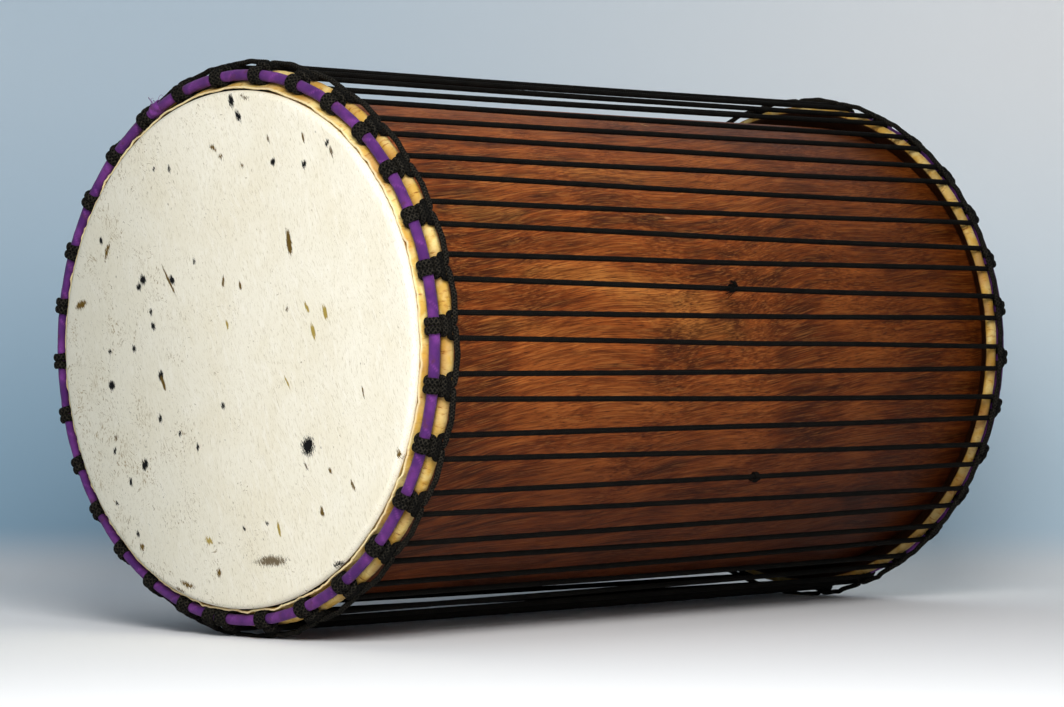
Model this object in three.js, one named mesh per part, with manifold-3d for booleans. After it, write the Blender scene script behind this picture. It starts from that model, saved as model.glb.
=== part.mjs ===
// Dunun: a rope-laced bass drum lying on its side.
// Millimetres, +Z up. The drum's axis runs along X, and z = 0 is the surface that the drum lies on.
// The front head looks along -X, the back head along +X.
//
// Each end is drawn in its own plane first, as (r, a): r is the distance from the drum's axis, and a is
// the distance behind the crown hoop's plane, towards the middle of the drum. A hitch adds s, the
// distance round the hoop from the hitch's own middle.

import * as THREE from 'three';
import { mergeVertices } from 'three/addons/utils/BufferGeometryUtils.js';
import Module from 'manifold-3d';

const wasm = await Module();
wasm.setup();

// Driving dimensions

const crownSpacing = 698; // between the planes of the two crown hoops
const headLift = 9.2; // the playing face stands this far in front of the crown hoop's plane
const clearance = 0.3; // between pieces that touch on the real drum

const shellRadius = 196.2;
const shellWall = 18;
const bearingRound = 7; // the outer edge that the hide bends over
const bearingCrest = 3; // the narrow crest beside the round
const bearingBevel = 12; // how far the inner bevel reaches down the bore

const hideThickness = 1.4;
const hideEdgeRound = 4;
const sideEnd = 9; // the side leaves the shell this far behind the crown hoop's plane, for the flesh hoop
const flapRoom = 0.9; // between the side and the trimmed flap beside it
const flapHeight = 5; // the trimmed edge stands this far in front of the crown hoop's middle
const flapWave = 1.2; // the trimmed edge leans out this far between the hitches
const fleshRodRadius = 2.6;

const crownRodRadius = 2.6;
const clothThickness = 1.3;
const clothSeam = 1.2; // the cloth strip's edges stop this far apart, facing the flesh hoop
const clothEndLength = 11; // the strip's end is wound over itself beside one hitch
const clothEndHitch = 3;

const ropeRadius = 2.1; // both ropes where they run straight and round
const flatHalfThickness = 1.45; // a rope bent over a hoop, or pinched, goes flat
const flatHalfWidth = 3.05;
const pinchedRadius = 1.6; // a rope squeezed between others
const strandHalfThickness = 1.8; // a strand is a little flat
const strandHalfWidth = 2.45;
const ropeGap = 0.5; // between ropes, and from a rope to itself
const restCut = 0.42; // the rope is flat where the drum lies on it, a tenth of its diameter deep

const hitchCount = 30;
const hoopLean = 90; // degrees from outward to the flesh hoop, seen from the crown hoop
const frontTurnGap = 0.6; // between a hitch's two turns in front
const backTurnSpread = 5.9; // half the distance between the turns between the hoops
const strandLag = 1.9; // a strand lies this far behind the flesh hoop's plane
const shoulderLag = 0.9; // the cords that part into strands pass this far behind it
const lacingLead = 1.4; // the lacing's runs start this far in front of it
const lacingHalfPair = 9.4; // half the distance between the two runs at a hitch
const lacingBend = 0.8; // the distance along the hoop in which the lacing turns into its run
const lacingLift = 0.4; // from the fold to a run that passes over it
const barLift = 4.8; // from a hitch's corners to its bar
const lacingTurnLift = 2.4; // from the bar to the lacing that turns over it
const shoulderTilt = -19; // degrees from outward that a cord's flat side turns where it parts
const lacingTilt = -8; // the same where the lacing turns

const frontStartHitch = 15; // a cradle rope starts and ends beside this hitch
const backStartHitch = 8;
const spareTurns = 2; // its end goes round the hoop this often
const tieRadius = 1.1; // a thread tied round a run of the lacing
const tieTurns = 3;
const tieStep = 2.8; // between its turns
const tieTail = 13;
const tieTailLean = 26; // degrees from the run to the tail
const upperTiePlace = -12; // along the drum, from its middle
const lowerTiePlace = 43;
const probeStep = 0.7; // between the points that measure a rope's gap to itself
const overrun = 20; // extra size of a cutting solid

// Facets

const hideFacets = 2 * hitchCount;
const hoopSides = 6;
const foldSides = 5;
const turnSides = 5;
const ropeSides = 4;

// Shares

const frontHitchShare = -0.25; // of the distance between hitches, from the top line
const backHitchShare = 0.25;
const roundCornerShare = 0.3;
const foldStartShare = 156 / 360; // of a turn round the flesh rod, where the fold's first corner is
const turnStartShare = 18 / 360; // of a turn round the crown hoop, where a hitch's first corner is
const neckShare = 23.5 / 360; // where its two cords pass under the bar
const barShare = 26.4 / 360; // where the bar lies
const lacingTurnShare = 38.7 / 360; // where the lacing turns over the bar

// Derived sizes

const circle = 2 * Math.PI;
const pitchAngle = circle / hitchCount;
const leanAngle = (hoopLean / 360) * circle;
const shoulderAngle = (shoulderTilt / 360) * circle;
const turnAngle = (lacingTilt / 360) * circle;
const crownTubeRadius = crownRodRadius + clearance + clothThickness;
const foldMidRadius = fleshRodRadius + clearance + hideThickness;
const turnFaceRadius = crownTubeRadius + clearance + flatHalfThickness;
const turnCornerRadius = turnFaceRadius / Math.cos(Math.PI / turnSides);
const turnClear = flatHalfThickness + clearance + hideThickness; // from a turn's middle to the hide's
const sideMidRadius = shellRadius + clearance + hideThickness / 2;
const flapRadius = sideMidRadius + hideThickness + flapRoom;
const flapDepth = turnFaceRadius + hideThickness; // where the hide bends up beside the side
const crownRadius = flapRadius + turnClear + turnCornerRadius;
const hoopSpacing = turnFaceRadius + flatHalfThickness + clearance + foldMidRadius + hideThickness / 2;
const fleshRadius = crownRadius + hoopSpacing * Math.cos(leanAngle);
const fleshDepth = hoopSpacing * Math.sin(leanAngle);
const foldReach = fleshRadius + foldMidRadius + hideThickness / 2;
const frontTurnSpread = flatHalfWidth + frontTurnGap / 2;
const neckRadius = crownTubeRadius + clearance + 2 * pinchedRadius;
const neckHalfSpread = pinchedRadius + clearance;
const barRadius = turnCornerRadius + barLift;
const lacingTurnRadius = barRadius + lacingTurnLift;
const lacingReach = foldReach + ropeRadius + lacingLift; // from the drum's axis to the middle of a run
const lacingDepth = fleshDepth - lacingLead;
const strandReach = lacingReach + ropeRadius + strandHalfThickness + ropeGap + 2 * clearance;
const strandDepth = fleshDepth + strandLag;
const strandStart = lacingHalfPair - 2 * pinchedRadius; // a strand's straight run, from the hitch's middle
const shoulderReach = foldReach + ropeRadius + clearance; // where the two cords part into strands
const shoulderDepth = fleshDepth + shoulderLag;
const spareTurnStep = 2 * flatHalfWidth + clearance;
const spareTurnEnd = backTurnSpread + 2 * flatHalfWidth;
const axisHeight = strandReach + strandHalfThickness - restCut;

// Colours

const finishes = {
  wood: { color: 0x7a3a1c, roughness: 0.45, metalness: 0 },
  hide: { color: 0xe6ddc6, roughness: 0.7, metalness: 0 },
  cloth: { color: 0x6b3a94, roughness: 0.9, metalness: 0 },
  rope: { color: 0x17181a, roughness: 0.8, metalness: 0 },
  steel: { color: 0x8d9094, roughness: 0.4, metalness: 1 },
};

const drum = new THREE.Group();
drum.position.z = axisHeight;

function addPiece(name, finish, geometry) {
  const mesh = new THREE.Mesh(geometry, new THREE.MeshStandardMaterial(finishes[finish]));
  mesh.name = name;
  drum.add(mesh);
}

// Places on the drum

const ends = {
  front: { facing: -1, firstHitch: frontHitchShare * pitchAngle, startHitch: frontStartHitch },
  back: { facing: 1, firstHitch: backHitchShare * pitchAngle, startHitch: backStartHitch },
};

// A point at distance r from the axis and depth a, at an angle from the top towards +Y.
function endPoint(end, angle, r, a) {
  const x = end.facing * (crownSpacing / 2 - a);
  return new THREE.Vector3(x, r * Math.sin(angle), r * Math.cos(angle));
}

function hitchPoint(end, index, s, r, a) {
  const middle = end.firstHitch + index * pitchAngle;
  const roundHoop = new THREE.Vector3(0, Math.cos(middle), -Math.sin(middle));
  return endPoint(end, middle, r, a).addScaledVector(roundHoop, s);
}

// Closed bodies from rings of points

// Joins rings of equal length, and splits each face along its shorter diagonal. A body that isn't closed
// round gets an end cap on each end.
function bodyFromRings(rings, closed) {
  const count = rings[0].length;
  const points = rings.flat();
  const faces = [];
  const steps = closed ? rings.length : rings.length - 1;
  for (let i = 0; i < steps; i += 1) {
    const here = i * count;
    const next = ((i + 1) % rings.length) * count;
    for (let j = 0; j < count; j += 1) {
      const k = (j + 1) % count;
      const [p, q, r, s] = [here + j, here + k, next + k, next + j];
      if (points[p].distanceTo(points[r]) < points[q].distanceTo(points[s])) faces.push(p, q, r, p, r, s);
      else faces.push(p, q, s, q, r, s);
    }
  }
  if (!closed) {
    const last = (rings.length - 1) * count;
    for (let j = 1; j < count - 1; j += 1) {
      faces.push(0, j + 1, j);
      faces.push(last, last + j, last + j + 1);
    }
  }
  return bodyFromFaces(points, faces);
}

function bodyFromFaces(points, faces) {
  const geometry = new THREE.BufferGeometry().setFromPoints(points);
  geometry.setIndex(faces);
  if (signedVolume(points, faces) < 0) geometry.setIndex(faces.toReversed());
  return geometry;
}

function signedVolume(points, faces) {
  let volume = 0;
  for (let i = 0; i < faces.length; i += 3) {
    const [p, q, r] = faces.slice(i, i + 3).map((at) => points[at]);
    volume += p.dot(q.clone().cross(r));
  }
  return volume;
}

// How far out a section's corners lie, so that its area is that of the round or oval it stands for.
function cornerShare(sides) {
  return Math.sqrt(circle / (sides * Math.sin(circle / sides)));
}

// A tube through stops, each { at, flat, thick, wide }. Its section is thick along the direction flat and
// wide across it, and it is mitred at each stop, so that its thickness holds through the bends.
function ropeBody(stops, sides, closed) {
  const corner = cornerShare(sides);
  const rings = stops.map((stop, i) => {
    const isFirst = i === 0 && !closed;
    const isLast = i === stops.length - 1 && !closed;
    const before = stops.at(i - 1).at;
    const after = stops[(i + 1) % stops.length].at;
    const leave = after.clone().sub(stop.at).normalize();
    const arrive = isFirst ? leave : stop.at.clone().sub(before).normalize();
    if (isLast) leave.copy(arrive);
    const along = arrive.clone().add(leave).normalize();
    const bend = leave.clone().sub(arrive).normalize();
    const stretch = 1 / along.dot(leave) - 1;
    const thickWay = stop.flat.clone().projectOnPlane(along).normalize();
    const wideWay = along.clone().cross(thickWay);
    return Array.from({ length: sides }, (_, j) => {
      const angle = ((j + 0.5) / sides) * circle;
      const offset = thickWay.clone().multiplyScalar(Math.cos(angle) * corner * stop.thick);
      offset.addScaledVector(wideWay, Math.sin(angle) * corner * stop.wide);
      offset.addScaledVector(bend, offset.dot(bend) * stretch);
      return stop.at.clone().add(offset);
    });
  });
  return bodyFromRings(rings, closed);
}

// Turns a closed outline of (r, a) points round the axis.
function turnedBody(end, outline, facets, firstAngle) {
  const rings = [];
  for (let i = 0; i < facets; i += 1) {
    const angle = firstAngle + (i / facets) * circle;
    rings.push(outline.map(([r, a]) => endPoint(end, angle, r, a)));
  }
  return bodyFromRings(rings, true);
}

function solid(geometry) {
  const bare = geometry.clone();
  bare.deleteAttribute('normal');
  bare.deleteAttribute('uv');
  const merged = mergeVertices(bare);
  return new wasm.Manifold(new wasm.Mesh({
    numProp: 3,
    vertProperties: merged.getAttribute('position').array,
    triVerts: Uint32Array.from(merged.getIndex().array),
  }));
}

function geometryOf(manifold) {
  const mesh = manifold.getMesh();
  const geometry = new THREE.BufferGeometry();
  geometry.setAttribute('position', new THREE.Float32BufferAttribute(mesh.vertProperties, 3));
  geometry.setIndex(Array.from(mesh.triVerts));
  return geometry;
}

// Cuts a rope flat on the surface that the drum lies on.
function flatAtRest(geometry) {
  const width = 2 * (strandReach + overrun);
  const floor = new THREE.BoxGeometry(crownSpacing + width, width, overrun);
  floor.translate(0, 0, -axisHeight - overrun / 2);
  return geometryOf(solid(geometry).subtract(solid(floor)));
}

// Shell: one hollowed log with a bearing edge at each end

function shellGeometry() {
  const crest = crownSpacing / 2 + headLift - hideThickness - clearance;
  const shoulder = crest - bearingRound;
  const corner = bearingRound * roundCornerShare;
  const half = [
    new THREE.Vector2(shellRadius, shoulder),
    new THREE.Vector2(shellRadius - corner, crest - corner),
    new THREE.Vector2(shellRadius - bearingRound - bearingCrest, crest),
    new THREE.Vector2(shellRadius - shellWall, crest - bearingBevel),
  ];
  const mirrored = half.map((point) => new THREE.Vector2(point.x, -point.y)).reverse();
  const lathe = new THREE.LatheGeometry([...mirrored, ...half, mirrored[0]], hideFacets);
  lathe.rotateZ(-circle / 4);
  lathe.rotateX(circle / 4 - ends.front.firstHitch);
  return geometryOf(solid(lathe));
}

// Head: one hide makes the playing face, the side, the fold round the flesh rod and the trimmed flap

function hidePath(between) {
  const face = -headLift + hideThickness / 2;
  const roundStart = sideMidRadius - hideEdgeRound;
  const onFold = (corner) => {
    const angle = (foldStartShare - corner / foldSides) * circle;
    return [fleshRadius + foldMidRadius * Math.cos(angle), fleshDepth + foldMidRadius * Math.sin(angle)];
  };
  const lean = between ? flapWave : 0;
  return [
    [0, face],
    [roundStart, face],
    [roundStart + hideEdgeRound * (1 - roundCornerShare), face + hideEdgeRound * roundCornerShare],
    [sideMidRadius, face + hideEdgeRound],
    [sideMidRadius, sideEnd],
    onFold(0),
    onFold(1),
    onFold(2),
    onFold(3),
    onFold(4),
    [flapRadius, flapDepth],
    [flapRadius + lean, lean - flapHeight],
  ];
}

// A place round the crown hoop. angle goes from outward to behind the hoop.
function roundCrown(radius, angle) {
  return [crownRadius + radius * Math.cos(angle), radius * Math.sin(angle)];
}

// A place on a hitch's turn round the crown hoop, by corner: corner 0 is on the outer side in front, and
// the turn goes over the front, inside and between the hoops.
function onTurn(corner, radius) {
  return roundCrown(radius, -(turnStartShare + corner / turnSides) * circle);
}

// The two faces of a strip that follows a path of (r, a) points, from the axis out.
function stripFaces(path, thickness) {
  const towards = (i, j) => new THREE.Vector2(path[j][0] - path[i][0], path[j][1] - path[i][1]).normalize();
  const last = path.length - 1;
  const offsets = path.map((point, i) => {
    const arrive = towards(Math.max(i - 1, 0), Math.max(i, 1));
    const leave = towards(Math.min(i, last - 1), Math.min(i + 1, last));
    const along = arrive.clone().add(leave).normalize();
    const reach = thickness / 2 / along.dot(leave);
    return [-along.y * reach, along.x * reach];
  });
  const face = (side) => path.map(([r, a], i) => [r + side * offsets[i][0], a + side * offsets[i][1]]);
  return [face(1), face(-1)];
}

function hideGeometry(end) {
  const points = [];
  const faces = [];
  const rows = [];
  for (let i = 0; i < hideFacets; i += 1) {
    const angle = end.firstHitch + (i / hideFacets) * circle;
    const [inner, outer] = stripFaces(hidePath(i % 2 === 1), hideThickness);
    const row = [...inner, ...outer.toReversed()].map(([r, a], j, outline) => {
      const onAxis = j === 0 || j === outline.length - 1;
      if (onAxis && i > 0) return rows[0][j];
      points.push(endPoint(end, angle, onAxis ? 0 : r, a));
      return points.length - 1;
    });
    rows.push(row);
  }
  rows.forEach((here, i) => {
    const next = rows[(i + 1) % hideFacets];
    for (let j = 0; j < here.length - 1; j += 1) {
      if (here[j] !== next[j]) faces.push(here[j], here[j + 1], next[j]);
      if (here[j + 1] !== next[j + 1]) faces.push(next[j], here[j + 1], next[j + 1]);
    }
  });
  return bodyFromFaces(points, faces);
}

function fleshHoopGeometry(end) {
  const outline = Array.from({ length: foldSides }, (_, corner) => {
    const angle = (foldStartShare - corner / foldSides) * circle;
    return [fleshRadius + fleshRodRadius * Math.cos(angle), fleshDepth + fleshRodRadius * Math.sin(angle)];
  });
  return turnedBody(end, outline, hideFacets, end.firstHitch);
}

// Crown hoop: a steel rod inside a wound cloth strip. It is straight through each hitch, and its corners
// are halfway between the hitches.

const hoopCornerRadius = crownRadius / Math.cos(pitchAngle / 2);

function crownRing(radius) {
  return Array.from({ length: hoopSides }, (_, corner) => {
    const angle = leanAngle + (corner / hoopSides) * circle;
    return [hoopCornerRadius + radius * Math.cos(angle), radius * Math.sin(angle)];
  });
}

function crownRodGeometry(end) {
  return turnedBody(end, crownRing(crownRodRadius), hitchCount, end.firstHitch + pitchAngle / 2);
}

function crownClothGeometry(end) {
  const seam = [-Math.sin(leanAngle), Math.cos(leanAngle)].map((share) => (share * clothSeam) / 2);
  const opened = (ring) => {
    const [[r, a], ...rest] = ring;
    return [[r + seam[0], a + seam[1]], ...rest, [r - seam[0], a - seam[1]]];
  };
  const outer = opened(crownRing(crownTubeRadius));
  const inner = opened(crownRing(crownRodRadius + clearance));
  return turnedBody(end, [...outer, ...inner.toReversed()], hitchCount, end.firstHitch + pitchAngle / 2);
}

// Cloth end: the strip's last turns, wound over itself beside one hitch

function clothEndGeometry(end) {
  const near = -backTurnSpread - flatHalfWidth;
  const inner = crownTubeRadius + 2 * clearance;
  const rings = Array.from({ length: hoopSides }, (_, corner) => {
    const angle = leanAngle + (corner / hoopSides) * circle;
    const edge = (s, radius) => hitchPoint(end, clothEndHitch, s, ...roundCrown(radius, angle));
    return [
      edge(near, inner),
      edge(near, inner + clothThickness),
      edge(near - clothEndLength, inner + clothThickness),
      edge(near - clothEndLength, inner),
    ];
  });
  return bodyFromRings(rings, true);
}

// Cradle rope: cow hitches on the crown hoop, with a strand from each to the next

const sections = {
  round: { thick: ropeRadius, wide: ropeRadius },
  flat: { thick: flatHalfThickness, wide: flatHalfWidth },
  pinched: { thick: pinchedRadius, wide: pinchedRadius },
  strand: { thick: strandHalfThickness, wide: strandHalfWidth },
  thread: { thick: tieRadius, wide: tieRadius },
};

// A stop on a rope. Its flat side faces the way that angle gives, from outward to behind the hoop.
function ropeStop(end, index, s, [r, a], section, angle) {
  const at = hitchPoint(end, index, s, r, a);
  const flat = hitchPoint(end, index, s, r + Math.cos(angle), a + Math.sin(angle)).sub(at);
  return { at, flat, ...sections[section] };
}

// Half of a hitch, from its strand to its bar. side is -1 or 1.
function halfHitch(end, index, side) {
  const onHoop = (s, [r, a], section) => (
    ropeStop(end, index, side * s, [r, a], section, Math.atan2(a, r - crownRadius))
  );
  const knee = onTurn(3, turnCornerRadius);
  const bar = roundCrown(barRadius, barShare * circle);
  const acrossKnee = Math.atan2(bar[0] - knee[0], knee[1] - bar[1]);
  return [
    ropeStop(end, index, side * strandStart, [strandReach, strandDepth], 'strand', 0),
    ropeStop(end, index, side * ropeRadius, [shoulderReach, shoulderDepth], 'round', shoulderAngle),
    onHoop(neckHalfSpread, roundCrown(neckRadius, neckShare * circle), 'pinched'),
    onHoop(frontTurnSpread, onTurn(0, turnCornerRadius), 'flat'),
    onHoop(frontTurnSpread, onTurn(1, turnCornerRadius), 'flat'),
    onHoop((frontTurnSpread + backTurnSpread) / 2, onTurn(2, turnCornerRadius), 'flat'),
    onHoop(backTurnSpread, knee, 'flat'),
    ropeStop(end, index, side * backTurnSpread, bar, 'pinched', acrossKnee),
  ];
}

// The rope starts under the bar of its first hitch, ties every hitch in turn, comes back to the first one
// and ends in spare turns beside it.
function cradleStops(end) {
  const stops = [];
  for (let i = 0; i < hitchCount; i += 1) {
    const index = end.startHitch + i;
    stops.push(...halfHitch(end, index, -1), ...halfHitch(end, index, 1).toReversed());
  }
  const firstStrand = 1;
  const corners = spareTurns * turnSides;
  const spareStart = spareTurnEnd + ((corners - 1) / turnSides) * spareTurnStep;
  const spare = [ropeStop(end, end.startHitch, -spareStart, [strandReach, strandDepth], 'strand', 0)];
  for (let corner = 0; corner < corners; corner += 1) {
    const s = -spareStart + (corner / turnSides) * spareTurnStep;
    const [r, a] = onTurn(corner, turnCornerRadius);
    spare.push(ropeStop(end, end.startHitch, s, [r, a], 'flat', Math.atan2(a, r - crownRadius)));
  }
  return [...stops.slice(firstStrand), ...spare];
}

// Lacing: one rope that turns over the neck of every hitch, front and back by turns

function lacingTurn(end, index) {
  const run = (s) => ropeStop(end, index, s, [lacingReach, lacingDepth], 'round', 0);
  const overBar = roundCrown(lacingTurnRadius, lacingTurnShare * circle);
  const turn = (s) => ropeStop(end, index, s, overBar, 'round', turnAngle);
  const corner = lacingHalfPair - lacingBend;
  return [run(-lacingHalfPair), turn(-corner), turn(corner), run(lacingHalfPair)];
}

function lacingStops() {
  const stops = [];
  for (let index = 0; index < hitchCount; index += 1) {
    stops.push(...lacingTurn(ends.front, index), ...lacingTurn(ends.back, index));
  }
  return stops;
}

// Ties: a thread wound round one run of the lacing, with a tail

const halfAcrossShare = cornerShare(ropeSides) * Math.cos(Math.PI / ropeSides);

function runEnd(end, index, side) {
  return hitchPoint(end, index, side * lacingHalfPair, lacingReach, lacingDepth);
}

function tieStops({ from, to, place }) {
  const along = to.clone().sub(from).normalize();
  const middle = from.clone().addScaledVector(along, (place - from.x) / along.x);
  const outward = new THREE.Vector3(0, middle.y, middle.z).projectOnPlane(along).normalize();
  const aside = along.clone().cross(outward);
  const reach = (halfAcrossShare * (ropeRadius + tieRadius) + 2 * clearance) / Math.cos(Math.PI / ropeSides);
  const corners = tieTurns * ropeSides;
  const stops = [];
  for (let corner = 0; corner <= corners; corner += 1) {
    const angle = ((corner + 0.5) / ropeSides) * circle;
    const flat = outward.clone().multiplyScalar(Math.cos(angle)).addScaledVector(aside, Math.sin(angle));
    const at = middle.clone().addScaledVector(along, (0.5 - corner / corners) * tieTurns * tieStep);
    stops.push({ at: at.addScaledVector(flat, reach), flat, ...sections.thread });
  }
  const lean = (tieTailLean / 360) * circle;
  const last = stops.at(-1);
  const tail = last.at.clone().addScaledVector(along, -tieTail * Math.cos(lean));
  tail.addScaledVector(aside, tieTail * Math.sin(lean));
  return [...stops, { ...last, at: tail }];
}

// Least gap of a rope to itself, between points on the edges and the middles of its faces. Points on
// stretches that follow each other closely aren't compared.
function leastSelfGap(stops) {
  const surface = ropeBody(stops, ropeSides, false).getAttribute('position');
  const point = (i, j) => new THREE.Vector3().fromBufferAttribute(surface, i * ropeSides + (j % ropeSides));
  const cell = 2 * probeStep;
  const cells = new Map();
  const keyOf = (x, y, z) => `${x},${y},${z}`;
  const placeOf = (at) => at.toArray().map((value) => Math.floor(value / cell));
  for (let i = 0; i < stops.length - 1; i += 1) {
    const steps = Math.ceil(stops[i].at.distanceTo(stops[i + 1].at) / probeStep);
    for (let side = 0; side < 2 * ropeSides; side += 1) {
      const j = Math.floor(side / 2);
      const here = point(i, j).lerp(point(i, j + 1), (side % 2) / 2);
      const next = point(i + 1, j).lerp(point(i + 1, j + 1), (side % 2) / 2);
      for (let step = 0; step < steps; step += 1) {
        const at = here.clone().lerp(next, step / steps);
        const key = keyOf(...placeOf(at));
        if (!cells.has(key)) cells.set(key, []);
        cells.get(key).push({ at, i });
      }
    }
  }
  const near = [-1, 0, 1];
  let least = Infinity;
  for (const [key, members] of cells) {
    const [x, y, z] = key.split(',').map(Number);
    for (const dx of near) for (const dy of near) for (const dz of near) {
      for (const other of cells.get(keyOf(x + dx, y + dy, z + dz)) ?? []) {
        for (const member of members) {
          if (Math.abs(member.i - other.i) > 2) least = Math.min(least, member.at.distanceTo(other.at));
        }
      }
    }
  }
  return least;
}

// A rope that is wound and has two ends.
function addWoundRope(name, stops) {
  addPiece(name, 'rope', flatAtRest(ropeBody(stops, ropeSides, false)));
  console.log(`${name}: least gap to itself ${leastSelfGap(stops).toFixed(2)} mm`);
}

// The drum

addPiece('shell', 'wood', shellGeometry());
for (const [name, end] of Object.entries(ends)) {
  addPiece(`${name}_head_skin`, 'hide', hideGeometry(end));
  addPiece(`${name}_flesh_hoop`, 'steel', fleshHoopGeometry(end));
  addPiece(`${name}_crown_hoop`, 'steel', crownRodGeometry(end));
  addPiece(`${name}_crown_cloth`, 'cloth', crownClothGeometry(end));
  addWoundRope(`${name}_cradle_rope`, cradleStops(end));
}
addPiece('front_cloth_end', 'cloth', clothEndGeometry(ends.front));
addPiece('lacing_rope', 'rope', ropeBody(lacingStops(), ropeSides, true));
const upperRun = { from: runEnd(ends.front, 24, -1), to: runEnd(ends.back, 23, 1) };
const lowerRun = { from: runEnd(ends.front, 20, 1), to: runEnd(ends.back, 20, -1) };
addWoundRope('lacing_tie_upper', tieStops({ ...upperRun, place: upperTiePlace }));
addWoundRope('lacing_tie_lower', tieStops({ ...lowerRun, place: lowerTiePlace }));

export default drum;
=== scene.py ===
"""A dunun on its side, dressed for a studio picture.

The drum is a rope-laced bass drum: a hollowed log with a hair-on hide at each end. Each hide is folded
round a steel flesh hoop, a cloth-wound crown hoop presses the fold down, a cradle rope is hitched round
every crown hoop, and one long lacing rope zigzags between the two cradle ropes.

Every size is in metres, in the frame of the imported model: +Z up, the drum's axis along X, z = 0 on the
floor. Each end is drawn in its own plane as (r, a): r from the axis, a behind the crown hoop's plane
towards the middle of the drum. A hitch adds s, the distance round the hoop from its own middle.
"""

from __future__ import annotations

import logging
import math
from dataclasses import dataclass
from enum import Enum
from typing import Sequence, Union

import bpy
from mathutils import Matrix, Vector, noise


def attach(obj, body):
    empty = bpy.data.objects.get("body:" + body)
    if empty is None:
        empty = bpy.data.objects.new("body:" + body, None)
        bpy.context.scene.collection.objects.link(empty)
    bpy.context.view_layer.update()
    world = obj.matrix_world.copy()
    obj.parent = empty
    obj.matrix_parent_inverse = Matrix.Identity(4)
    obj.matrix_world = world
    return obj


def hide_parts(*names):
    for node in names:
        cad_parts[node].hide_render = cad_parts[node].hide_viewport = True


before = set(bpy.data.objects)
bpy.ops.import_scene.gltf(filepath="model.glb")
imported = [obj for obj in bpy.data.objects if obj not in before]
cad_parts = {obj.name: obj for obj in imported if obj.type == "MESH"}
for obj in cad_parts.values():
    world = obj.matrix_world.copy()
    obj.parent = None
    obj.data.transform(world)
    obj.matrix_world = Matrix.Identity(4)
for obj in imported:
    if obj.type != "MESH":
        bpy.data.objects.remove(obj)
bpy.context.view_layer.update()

log = logging.getLogger("dunun")

MM = 0.001
TURN = 2 * math.pi
BODY = "root"

Place = tuple[float, float]
Socket = bpy.types.NodeSocket
Feed = Union[Socket, float, int, Sequence[float]]
Colour = tuple[float, float, float, float]


def degrees(angle: float) -> float:
    """Turns degrees into radians."""
    return angle / 360 * TURN


def tone(red: int, green: int, blue: int) -> Colour:
    """Turns a screen colour into the linear colour that a shader takes.

    Args:
        red: the red share, 0 to 255.
        green: the green share, 0 to 255.
        blue: the blue share, 0 to 255.

    Returns:
        The linear colour, with full cover.
    """
    shares = [value / 255 for value in (red, green, blue)]
    linear = [s / 12.92 if s <= 0.04045 else ((s + 0.055) / 1.055) ** 2.4 for s in shares]
    return (linear[0], linear[1], linear[2], 1.0)


def ease(value: float, low: float, high: float) -> float:
    """Goes smoothly from 0 at low to 1 at high."""
    share = min(1.0, max(0.0, (value - low) / (high - low)))
    return share * share * (3 - 2 * share)


def wander(x: float, y: float = 0.0, z: float = 0.0) -> float:
    """A smooth value between about -1 and 1 that is the same in every run."""
    return noise.noise(Vector((x, y, z)))


# Sizes


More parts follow.
